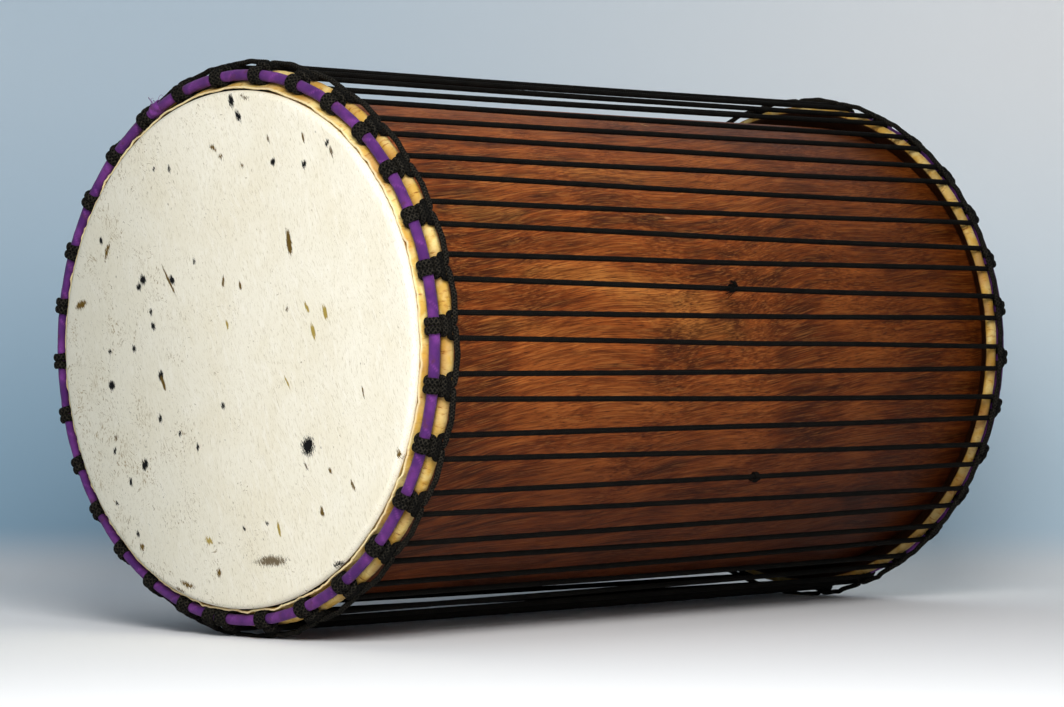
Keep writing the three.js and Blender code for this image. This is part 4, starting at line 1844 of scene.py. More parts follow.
class Finishes:
    """Every finish of the drum, built once."""

    # Share of dust and painted highlight on the cradle rope's crests.
    cradle_dust_and_highlight: float = 0.34
    thread_pitch: float = 2.6 * MM

    def __init__(self) -> None:
        """Builds the effects and the materials."""
        effects = Effects()
        self.wood = WoodFinish().make(effects)
        self.hide = {end: HideFinish().make(effects, end) for end in End}
        self.cloth = ClothFinish().make(effects)
        self.lacing = RopeFinish().make(effects)
        self.cradle = RopeFinish(name="dusty_highlit_black_braid", worn=self.cradle_dust_and_highlight).make(effects)
        self.thread = RopeFinish(name="black_thread", pitch=self.thread_pitch).make(effects)
        self.steel = SteelFinish().make(effects)
        self.backdrop = BackdropFinish().make()


# Sub-assemblies


@dataclass
class Shell:
    """The hollowed log, with a bearing edge at each end."""

    facets: int = 300
    wall: float = LAYOUT.shell_wall
    edge_round: float = 7 * MM
    crest: float = 3 * MM
    bevel: float = 12 * MM
    rows: int = 60
    carving: float = 0.35 * MM

    def _profile(self) -> list[Place]:
        """Half of the closed outline, as (r, x), from the middle outside to the middle inside.

        Returns:
            The points.
        """
        radius = LAYOUT.shell_radius
        crest = LAYOUT.crown_spacing / 2 + LAYOUT.head_lift - LAYOUT.hide_thickness - LAYOUT.clearance
        shoulder = crest - self.edge_round
        outline = [(radius, shoulder * i / self.rows) for i in range(self.rows)]
        for i in range(9):
            angle = i / 8 * TURN / 4
            rounded = radius - self.edge_round * (1 - math.cos(angle))
            outline.append((rounded, shoulder + self.edge_round * math.sin(angle)))
        inner = radius - self.edge_round - self.crest
        bore = radius - self.wall
        outline.append((inner, crest))
        for i in range(1, 6):
            share = i / 5
            outline.append((inner + (bore - inner) * share, crest - self.bevel * share * share))
        for i in range(9, -1, -1):
            outline.append((bore, (crest - self.bevel) * i / 10))
        return outline

    def build(self, finishes: Finishes) -> None:
        """Builds and dresses the log.

        Args:
            finishes: the drum's finishes.
        """
        half = self._profile()
        mirrored = [(r, -x) for r, x in reversed(half[1:-1])]
        outline = half + mirrored
        rings = []
        for i in range(self.facets):
            angle = i / self.facets * TURN
            ring = []
            for r, x in outline:
                hand = self.carving * wander(3.1 * math.cos(angle), 3.1 * math.sin(angle), x * 9)
                reach = r + hand
                height = LAYOUT.axis_height + reach * math.cos(angle)
                ring.append(Vector((x, reach * math.sin(angle), height)))
            rings.append(ring)
        piece = join_rings("log_shell", rings, True)
        finish_piece(piece, finishes.wood, "wood", "shell")


@dataclass
class HideHead:
    """One hide: the playing face, the side, the fold round the flesh hoop and the trimmed edge."""

    end: End
    facets: int = 600
    edge_round: float = 4 * MM
    flap_height: float = 5 * MM
    flap_wave: float = 0.8 * MM
    flap_at_hitch: float = 201.7 * MM
    flap_between: float = 203.4 * MM
    side_end: float = 6 * MM
    fold_from: float = 140
    fold_to: float = -118
    ruffle: float = 2.5 * MM
    fold_swell: float = 0.55 * MM
    pucker: float = 0.3 * MM
    face_relief: float = 0.35 * MM
    bulge: float = 3.4 * MM
    bulge_at: float = 188
    side_leave: Place = (0.0, 4 * MM)
    fold_arrive: Place = (4.5 * MM, 3.5 * MM)
    fold_leave: Place = (-5 * MM, 1.5 * MM)
    flap_arrive: Place = (-0.8 * MM, -7 * MM)
    flap_root: float = 1.0 * MM
    ragged: float = 0.5 * MM
    # Where the painted shade on the fold, in the groove and along the face's edge starts and ends.
    fold_darkens: Place = (3 * MM, 9 * MM)
    groove_from: Place = (4 * MM, 6 * MM)
    slope_to: Place = (2 * MM, 1 * MM)
    slope_from: Place = (-4 * MM, -1 * MM)
    on_axis: float = 1e-12

    def _ruffle(self, angle: float) -> float:
        """How far the trimmed edge leans out at an angle.

        Args:
            angle: from the top towards +Y.

        Returns:
            How far, outwards from the axis.
        """
        share = self.end.hitch_share(angle)
        between = 0.5 - 0.5 * math.cos(share * TURN)
        at = (4.2 * math.cos(angle), 4.2 * math.sin(angle))
        loose = ease(wander(at[0] * 0.35, at[1] * 0.35, 2.0 + self.end.facing), -0.5, 0.2)
        fold = wander(at[0] * 5.5, at[1] * 5.5, 7.0) + 0.7 * wander(at[0] * 12, at[1] * 12, 3.0)
        return self.flap_wave * between + self.ruffle * loose * fold * (0.35 + 0.65 * between)

    def _path(self, angle: float) -> list[tuple[float, float, float, float]]:
        """The hide's middle line at an angle.

        Args:
            angle: from the top towards +Y.

        Returns:
            For each point r, a, how bare it is, and how near the trimmed rim.
        """
        lay = LAYOUT
        face = -lay.head_lift + lay.hide_thickness / 2
        bulge = self.bulge * ease(math.cos(angle - degrees(self.bulge_at)), 0.0, 1.0)
        edge = lay.side_middle - self.edge_round + bulge
        path = [(edge * i / 28, face, 0.0, 0.0) for i in range(29)]
        for i in range(1, 8):
            turn = i / 7 * TURN / 4
            r = edge + self.edge_round * math.sin(turn)
            path.append((r, face + self.edge_round * (1 - math.cos(turn)), 0.3 * ease(i, 3, 7), 0.0))
        top = face + self.edge_round
        for i in range(1, 4):
            swell = bulge * (1 - i / 3) ** 2
            path.append((lay.side_middle + swell, top + (self.side_end - top) * i / 3, 1.0, 0.0))
        share = self.end.hitch_share(angle)
        between = 0.5 - 0.5 * math.cos(share * TURN)
        at = (4.2 * math.cos(angle), 4.2 * math.sin(angle))
        swell = self.fold_swell * (between**0.6 - 0.45)
        swell += self.pucker * wander(at[0] * 9, at[1] * 9, 11.0)
        fold = []
        for i in range(25):
            turn = degrees(self.fold_from - i / 24 * (self.fold_from - self.fold_to))
            near = ease(i, 1, 5) * ease(24 - i, 0, 5)
            reach = lay.fold_middle + swell * near
            r = lay.flesh_radius + reach * math.cos(turn)
            fold.append((r, lay.flesh_depth + reach * math.sin(turn)))
        side = (lay.side_middle, self.side_end)
        path += self._bend(side, self.side_leave, fold[0], self.fold_arrive)
        path += [(r, a, 1.0, 0.0) for r, a in fold]
        close = self.flap_at_hitch + (self.flap_between - self.flap_at_hitch) * between
        path += self._bend(fold[-1], self.fold_leave, (close, self.flap_root), self.flap_arrive)
        lean = self._ruffle(angle)
        ragged = self.ragged * wander(at[0] * 14, at[1] * 14, 5.0)
        height = self.flap_height - 0.35 * bulge + ragged
        lean += 0.9 * bulge
        for i in range(10):
            share = i / 9
            a = self.flap_root - (self.flap_root + height) * share
            r = close + (lay.flap_radius + lean - close) * share
            path.append((r, a, 1.0, ease(share, 0.7, 0.95)))
        return path

    @staticmethod
    def _bend(
        start: Place, leave: Place, finish: Place, arrive: Place
    ) -> list[tuple[float, float, float, float]]:
        """Points of bare hide on a smooth bend, without its two ends.

        Args:
            start: where it starts.
            leave: the way in which it starts.
            finish: where it ends.
            arrive: the way in which it ends.

        Returns:
            For each point r, a, how bare it is, and how near the trimmed rim.
        """
        points = []
        for i in range(1, 7):
            t = i / 7
            weights = (2 * t**3 - 3 * t**2 + 1, t**3 - 2 * t**2 + t, 3 * t**2 - 2 * t**3, t**3 - t**2)
            r, a = (
                weights[0] * start[k]
                + weights[1] * leave[k]
                + weights[2] * finish[k]
                + weights[3] * arrive[k]
                for k in (0, 1)
            )
            points.append((r, a, 1.0, 0.0))
        return points

    def _painted_shade(self, angle: float, r: float, a: float) -> float:
        """How much painted shade the bare hide gets: a darker fold, most of all under a hitch, a painted
        shadow in the groove beside the shell, painted shade along the face's edge, and on the back end
        painted shade that grows towards the bottom.

        Args:
            angle: from the top towards +Y.
            r: from the drum's axis.
            a: from the crown hoop towards the drum's middle.

        Returns:
            How much painted shade, as a share.
        """
        share = self.end.hitch_share(angle)
        near_hitch = (0.5 + 0.5 * math.cos(share * TURN)) ** 2
        # Painted shade on the fold behind the crown hoop, deepest under each hitch.
        fold = ease(a, *self.fold_darkens) * (0.24 + 0.4 * near_hitch)
        # Painted shadow in the groove between the fold's underside and the shell's side.
        turn = math.atan2(a - LAYOUT.flesh_depth, r - LAYOUT.flesh_radius) % TURN
        inside = ease(turn, degrees(72), degrees(104)) * ease(turn, degrees(265), degrees(235))
        groove = inside * ease(a, *self.groove_from)
        # Painted shade along the side just below the face's edge, stronger at the top.
        slope = 0.1 * ease(a, *self.slope_to) * ease(a, *self.slope_from)
        shaded = slope * (1 + ease(math.cos(angle + degrees(15)), 0.5, 1.0))
        # Painted shade on the back hide, darker towards the bottom.
        painted_dim = 0.0
        if self.end is End.BACK:
            painted_dim = 0.1 + 0.6 * ease(-math.cos(angle), -0.3, 0.7)
        return max(fold, 1.25 * groove, shaded, painted_dim)

    def _section(self, angle: float) -> list[tuple[Vector, Vector]]:
        """The hide's section at an angle, out along one face and back along the other.

        Args:
            angle: from the top towards +Y.

        Returns:
            For each point its place and its lay: how bare, how near the rim, how much painted shade.
        """
        half = LAYOUT.hide_thickness / 2
        path = self._path(angle)
        outer: list[tuple[Vector, Vector]] = []
        inner: list[tuple[Vector, Vector]] = []
        for k, (r, a, bare, rim) in enumerate(path):
            before = path[max(k - 1, 0)]
            after = path[min(k + 1, len(path) - 1)]
            along = Vector((after[0] - before[0], after[1] - before[1])).normalized()
            relief = 0.0
            if bare < 0.5:
                spot = (r * math.sin(angle) * 14, r * math.cos(angle) * 14)
                relief = self.face_relief * wander(spot[0], spot[1], 4.0)
            lay = Vector((bare, rim, self._painted_shade(angle, r, a) * ease(bare, 0.5, 1)))
            for side, kept in ((1, outer), (-1, inner)):
                place = (r + side * along.y * half, a - side * along.x * half + relief)
                if k == 0:
                    place = (0.0, place[1])
                kept.append((self.end.point(angle, *place), lay))
        return outer + inner[::-1]

    def build(self, finishes: Finishes) -> None:
        """Builds and dresses the hide.

        Args:
            finishes: the drum's finishes.
        """
        points: list[Vector] = []
        lays: list[Vector] = []
        rows: list[list[int]] = []
        for i in range(self.facets):
            row = []
            for place, lay in self._section(i / self.facets * TURN):
                off_axis = place.y**2 + (place.z - LAYOUT.axis_height) ** 2
                if off_axis < self.on_axis and rows:
                    row.append(rows[0][len(row)])
                    continue
                points.append(place)
                lays.append(lay)
                row.append(len(points) - 1)
            rows.append(row)
        faces: list[tuple[int, ...]] = []
        for i, here in enumerate(rows):
            after = rows[(i + 1) % self.facets]
            for j in range(len(here) - 1):
                corners = (here[j], here[j + 1], after[j + 1], after[j])
                faces.append(tuple(dict.fromkeys(corners)))
        piece = make_piece(f"{self.end.value}_hide", points, faces, lays)
        finish_piece(piece, finishes.hide[self.end], "hide", f"{self.end.value}_head_skin")


@dataclass
class HoopRod:
    """A steel rod bent into a hoop and butt-welded."""

    name: str
    end: End
    radius: float
    depth: float
    rod: float
    stands_for: str
    weld: float = 0.35 * MM
    weld_width: float = 0.012
    facets: int = 360
    sides: int = 14

    def build(self, finishes: Finishes) -> None:
        """Builds and dresses the rod.

        Args:
            finishes: the drum's finishes.
        """
        rings = []
        for i in range(self.facets):
            angle = i / self.facets * TURN
            bead = self.weld * math.exp(-(((angle - math.pi) / self.weld_width) ** 2))
            ring = []
            for j in range(self.sides):
                turn = j / self.sides * TURN
                reach = self.rod + bead
                place = (self.radius + reach * math.cos(turn), self.depth + reach * math.sin(turn))
                ring.append(self.end.point(angle, *place))
            rings.append(ring)
        piece = join_rings(self.name, rings, True)
        finish_piece(piece, finishes.steel, "steel", self.stands_for)


@dataclass
class ClothBinding:
    """The purple cloth strip wound round a crown hoop."""

    end: End
    facets: int = 900
    sides: int = 20
    strip: float = 23 * MM
    step: float = 0.22 * MM
    wrinkle: float = 0.12 * MM
    wrinkle_length: float = 7 * MM
    bore_gap: float = 0.15 * MM
    bed: float = 0.1 * MM

    def build(self, finishes: Finishes) -> None:
        """Builds and dresses the wound strip, with its bore.

        Args:
            finishes: the drum's finishes.
        """
        length = TURN * LAYOUT.crown_radius
        turns = round(length / self.strip)
        rings = []
        lays = []
        bore = LAYOUT.crown_rod_radius + self.bore_gap
        for i in range(self.facets):
            angle = i / self.facets * TURN
            along = angle * LAYOUT.crown_radius
            ring = []
            lay = []
            for j in range(self.sides):
                turn = j / self.sides * TURN
                phase = (i / self.facets * turns + j / self.sides) % 1
                lap = self.step * (1 - phase) if phase > 0.06 else self.step * phase / 0.06
                around = (3 * math.cos(turn), 3 * math.sin(turn))
                crinkle = self.wrinkle * wander(along / self.wrinkle_length, *around)
                reach = LAYOUT.crown_tube - self.bed + lap + crinkle
                ring.append(self.end.point(angle, *round_crown(reach, turn)))
                lay.append(Vector((along, turn * LAYOUT.crown_tube, ease(phase, 0.12, 0.0))))
            rings.append(ring)
            lays.append(lay)
        piece = self._with_bore(rings, lays, bore)
        finish_piece(piece, finishes.cloth, "cloth", f"{self.end.value}_crown_cloth")

    def _with_bore(
        self, rings: Sequence[Sequence[Vector]], lays: Sequence[Sequence[Vector]], bore: float
    ) -> bpy.types.Object:
        """Adds the inner face round the rod and joins both into one piece.

        Args:
            rings: the outer face, ring by ring.
            lays: what each of its points keeps for the material.
            bore: the inner face's radius.

        Returns:
            The piece.
        """
        count = self.sides
        points = [point for ring in rings for point in ring]
        lay = [entry for ring in lays for entry in ring]
        faces: list[tuple[int, ...]] = []
        outer_total = len(points)
        for i in range(self.facets):
            angle = i / self.facets * TURN
            for j in range(count):
                points.append(self.end.point(angle, *round_crown(bore, j / count * TURN)))
                lay.append(Vector((angle * LAYOUT.crown_radius, 0.0, 0.0)))
        for i in range(self.facets):
            here = i * count
            after = ((i + 1) % self.facets) * count
            for j in range(count):
                k = (j + 1) % count
                quad = (here + j, here + k, after + k, after + j)
                faces.append(quad)
                faces.append(tuple(outer_total + corner for corner in reversed(quad)))
        return make_piece(f"{self.end.value}_wound_cloth", points, faces, lay)


@dataclass
class ClothEnd:
    """The strip's end, wound over itself beside one hitch, with its frayed edge and loose threads."""

    end: End = End.FRONT
    hitch: int = 3
    length: float = 11 * MM
    thickness: float = 1.15 * MM
    sides: int = 28
    rows: int = 16
    fold: float = 0.3 * MM
    fine_fold: float = 0.22 * MM
    tuck: float = 0.9 * MM
    fray: float = 0.7 * MM
    bed: float = 0.1 * MM
    threads: int = 9
    thread: Cut = Cut(0.16 * MM, 0.16 * MM)
    thread_step: float = 0.8 * MM

    def _radius(self, share: float, turn: float) -> float:
        """Outside radius at a share of the length, with folds across it.

        Args:
            share: the share of the strip end's length.
            turn: the angle round the hoop's tube.

        Returns:
            The radius.
        """
        base = LAYOUT.crown_tube + self.thickness
        crossed = self.fold * math.sin(3 * turn + share * 9)
        crossed += self.fine_fold * math.sin(5 * turn - share * 14)
        tuck = -self.tuck * (ease(share, 0.12, 0.0) + ease(share, 0.88, 1.0))
        return base + crossed + tuck

    def build(self, finishes: Finishes) -> None:
        """Builds and dresses the sleeve and its threads.

        Args:
            finishes: the drum's finishes.
        """
        near = -LAYOUT.back_turn_spread - LAYOUT.flat_half_width
        rings = []
        lays = []
        spans = [(share / self.rows, True) for share in range(self.rows + 1)]
        spans += [(1 - share / self.rows, False) for share in range(self.rows + 1)]
        for share, outside in spans:
            ring = []
            lay = []
            for j in range(self.sides):
                turn = j / self.sides * TURN
                frayed = self.fray * wander(j * 1.7, 2.0) * ease(share, 0.8, 1.0)
                s = near - self.length * share + frayed
                radius = self._radius(share, turn) if outside else LAYOUT.crown_tube + self.bed
                ring.append(self.end.by_hitch(self.hitch, s, *round_crown(radius, turn)))
                lay.append(Vector((s, turn * LAYOUT.crown_tube, 0.35)))
            rings.append(ring)
            lays.append(lay)
        piece = join_rings("strip_end", rings, True, lays)
        finish_piece(piece, finishes.cloth, "cloth", "front_cloth_end")
        self._loose_threads(finishes, near)

    def _loose_threads(self, finishes: Finishes, near: float) -> None:
        """Adds the loops of loose thread that stand out of the strip's end.

        Args:
            finishes: the drum's finishes.
            near: where the strip's end starts, from the hitch.
        """
        for i in range(self.threads):
            turn = degrees(-50 + 100 * i / (self.threads - 1))
            start = near - self.length * (0.25 + 0.6 * ((i * 5) % self.threads) / self.threads)
            reach = (2.2 + 1.5 * ((i * 7) % 4)) * MM
            drift = (4.5 * (((i * 3) % 5) / 2 - 1)) * MM
            stops = []
            for k in range(7):
                share = k / 6
                lift = math.sin(share * math.pi * (1.0 if i % 2 else 0.62))
                radius = LAYOUT.crown_tube + self.thickness * 0.6 + reach * lift
                s = start + drift * share
                at = self.end.by_hitch(self.hitch, s, *round_crown(radius, turn + 0.5 * share))
                stops.append(Stop(at, Vector((0.3, 0.5, 0.8)), self.thread))
            rope = Rope(f"strip_thread_{i}", tuple(stops), sides=6, step=self.thread_step, lumps=0)
            finish_piece(rope.make(), finishes.cloth, "cloth")


@dataclass
class CradleRope:
    """The rope that is hitched round a crown hoop, with a strand from each hitch to the next."""

    end: End
    turn_radius: float = LAYOUT.crown_tube + 1.45 * MM
    turn_steps: int = 8
    turn_from: float = -22
    turn_to: float = -262
    front_spread: float = 3.1 * MM
    back_spread: float = 5.4 * MM
    strand: Place = (219.9 * MM, 12.6 * MM)
    strand_start: float = 2.6 * MM
    strand_pull: float = 1.1 * MM
    strand_sag: tuple[Place, ...] = ((0.94, 0.75 * MM), (0.72, 0.45 * MM))
    shoulder: Place = (218.6 * MM, 10.2 * MM)
    shoulder_spread: float = 1.7 * MM
    shoulder_tilt: float = -25
    neck: Place = (215.0 * MM, 3.6 * MM)
    neck_spread: float = 1.8 * MM
    neck_tilt: float = 30
    rise: Place = (1.4 * MM, 6.6 * MM)
    rise_spread: float = 0.3 * MM
    rise_tilt: float = 60
    bar: Place = (217.5 * MM, 4.1 * MM)
    bar_spread: float = 3.6 * MM
    bar_tilt: float = 20
    depth_slack: float = 0.35 * MM
    spread_slack: float = 0.25 * MM
    bar_slack: float = 0.2 * MM
    settle: float = 2.2 * MM
    spare_turns: int = 2
    spare_steps: int = 10
    spare_step: float = 6.2 * MM
    spare_from: float = 18.4 * MM
    spare_lead: float = 1 * MM
    spare_turn: float = -20
    spare_wave: float = 0.15 * MM
    ring_step: float = 0.75 * MM

    def _strand_reach(self, index: float) -> float:
        """From the axis to a strand, a little further out where the drum's weight presses on the floor."""
        low = ease(-math.cos(self.end.hitch_angle(index)), 0.9, 1.0)
        return self.strand[0] + self.settle * low

    def _slack(self, index: int) -> float:
        """A small difference between one hitch and the next."""
        return wander(index * 1.37, self.end.facing * 3.0)

    def _half_hitch(self, index: int, side: int) -> list[Stop]:
        """Half of a hitch, from its strand's middle to its bar.

        Args:
            index: the hitch's number.
            side: -1 or 1.

        Returns:
            The stops.
        """
        slack = self._slack(index + 40 * side)
        reach = self._strand_reach(index)
        depth = self.strand[1] + self.depth_slack * slack
        to_next = abs(self.end.hitch_angle(index + side) - self.end.hitch_angle(index))
        half = to_next / 2 * reach
        route: list[tuple[float, Place, Section, float]] = []
        for share, drop in self.strand_sag:
            s = half * share
            route.append((s, (reach + (s / reach) * s / 2 - drop, depth), Section.STRAND, 0))
        route.append((self.strand_start, (reach, depth - self.strand_pull), Section.STRAND, 0))
        route.append((self.shoulder_spread, self.shoulder, Section.NECK, self.shoulder_tilt))
        route.append((self.neck_spread, self.neck, Section.NECK, self.neck_tilt))
        for i in range(self.turn_steps + 1):
            share = i / self.turn_steps
            tilt = self.turn_from + (self.turn_to - self.turn_from) * share
            spread = self.front_spread + (self.back_spread - self.front_spread) * ease(share, 0.4, 0.95)
            spread += self.spread_slack * slack
            section = Section.FLAT if share < 0.8 else Section.KNEE
            route.append((spread, round_crown(self.turn_radius, degrees(tilt)), section, tilt))
        rise = (
            (LAYOUT.crown_radius + self.bar[0]) / 2 + self.rise[0],
            (self.bar[1] + self.rise[1]) / 2,
        )
        route.append((self.back_spread + self.rise_spread, rise, Section.BAR, self.rise_tilt))
        bar = (self.bar[0] + self.bar_slack * slack, self.bar[1])
        route.append((self.bar_spread, bar, Section.BAR, self.bar_tilt))
        return [
            rope_stop(self.end, index, side * s, place, section, degrees(tilt))
            for s, place, section, tilt in route
        ]

    def _spare(self) -> list[Stop]:
        """The turns in which the rope ends, beside its first hitch.

        Returns:
            The stops.
        """
        start = self.end.start_hitch
        outer = self.spare_from
        reach = self._strand_reach(start)
        lead = -outer - self.spare_lead
        stops = [rope_stop(self.end, start, lead, (reach, self.strand[1]), Section.STRAND, 0)]
        count = self.spare_turns * self.spare_steps
        for i in range(count + 1):
            angle = degrees(self.spare_turn) - i / self.spare_steps * TURN
            s = -outer + i / self.spare_steps * self.spare_step
            radius = self.turn_radius + self.spare_wave * wander(i * 0.9)
            stops.append(rope_stop(self.end, start, s, round_crown(radius, angle), Section.FLAT, angle))
        return stops

    def build(self, finishes: Finishes) -> None:
        """Builds and dresses the rope.

        Args:
            finishes: the drum's finishes.
        """
        stops: list[Stop] = []
        for i in range(LAYOUT.hitch_count):
            index = self.end.start_hitch + i
            stops += self._half_hitch(index, -1)
            stops += reversed(self._half_hitch(index, 1))
        stops = stops[1:] + self._spare()
        name = f"{self.end.value}_hitched_rope"
        rope = Rope(name, tuple(stops), sides=16, step=self.ring_step, plait=0.2)
        finish_piece(rope.make(), finishes.cradle, "rope", f"{self.end.value}_cradle_rope")


@dataclass
class Lacing:
    """The long rope that zigzags between the two cradle ropes."""

    near: float = 7 * MM
    far: float = 45 * MM
    stray: float = 1.0 * MM
    sag: float = 0.5 * MM
    run_reach: float = LAYOUT.fold_reach + 2.3 * MM
    run_depth: float = 13 * MM
    turn: Place = (218.9 * MM, 6.9 * MM)
    bends: tuple[tuple[float, float, float], ...] = (
        (0.9 * MM, -1.5 * MM, 1.8 * MM),
        (3.6 * MM, 0.0, 0.0),
    )
    crest: float = 0.2 * MM
    loose_shares: tuple[float, ...] = (0.3, 0.5, 0.7)

    def run_end(self, end: End, index: int, side: int) -> Vector:
        """Where a run of the lacing starts or ends beside a hitch."""
        return end.by_hitch(index, side * LAYOUT.lacing_half_pair, self.run_reach, self.run_depth)

    def _turn(self, end: End, index: int) -> list[Stop]:
        """The rope's turn over the neck of a hitch, with the ends of its two runs.

        Args:
            end: the drum's end.
            index: the hitch's number.

        Returns:
            The stops.
        """
        half = LAYOUT.lacing_half_pair
        reach, depth = self.turn
        rounded = [(half, (self.run_reach, self.run_depth))]
        rounded += [(half - inset, (reach + out, depth + back)) for inset, out, back in self.bends]
        route = [(-s, place) for s, place in rounded]
        route.append((0.0, (reach + self.crest, depth)))
        route += reversed(rounded)
        return [rope_stop(end, index, s, place, Section.ROUND, 0.0) for s, place in route]

    def _run(self, start: Stop, finish: Stop, seed: int) -> list[Stop]:
        """Stops along a straight run, so that its bends stay at its ends.

        Args:
            start: the stop where it starts.
            finish: the stop where it ends.
            seed: what makes one run differ from another.

        Returns:
            The stops.
        """
        way = finish.at - start.at
        length = way.length
        along = way.normalized()
        outward = Vector((0, start.at.y, start.at.z - LAYOUT.axis_height)).normalized()
        aside = along.cross(outward)
        made = []
        places = [self.near, self.far]
        places += [length * share for share in self.loose_shares]
        places += [length - self.far, length - self.near]
        for k, distance in enumerate(places):
            bound = not self.far < distance < length - self.far
            loose = 0.0 if bound else math.sin(distance / length * math.pi)
            shift = self.stray * loose * wander(seed * 2.3, k * 1.7)
            at = start.at + along * distance + aside * shift
            at.z -= self.sag * loose
            made.append(Stop(at, outward.copy(), Section.ROUND.value))
        return made

    def build(self, finishes: Finishes) -> None:
        """Builds and dresses the lacing.

        Args:
            finishes: the drum's finishes.
        """
        turns = []
        for index in range(LAYOUT.hitch_count):
            turns.append(self._turn(End.FRONT, index))
            turns.append(self._turn(End.BACK, index))
        stops: list[Stop] = []
        for i, turn in enumerate(turns):
            after = turns[(i + 1) % len(turns)]
            stops += turn
            stops += self._run(turn[-1], after[0], i)
        rope = Rope("zigzag_lacing", tuple(stops), closed=True, sides=10)
        finish_piece(rope.make(), finishes.lacing, "rope", "lacing_rope")


@dataclass(frozen=True)
class Seat:
    """Where a tie's knot sits.

    Attributes:
        at: its place.
        along: the way along the lacing's run.
        aside: the way across the run, upwards.
        outward: the way out of the drum.
    """

    at: Vector
    along: Vector
    aside: Vector
    outward: Vector


@dataclass(frozen=True)
class Tail:
    """A frayed end of a tie's thread.

    Attributes:
        length: its length.
        lean: its lean from the lacing's run, in degrees.
        fibres: how many fibres it frays into.
    """

    length: float
    lean: float
    fibres: int


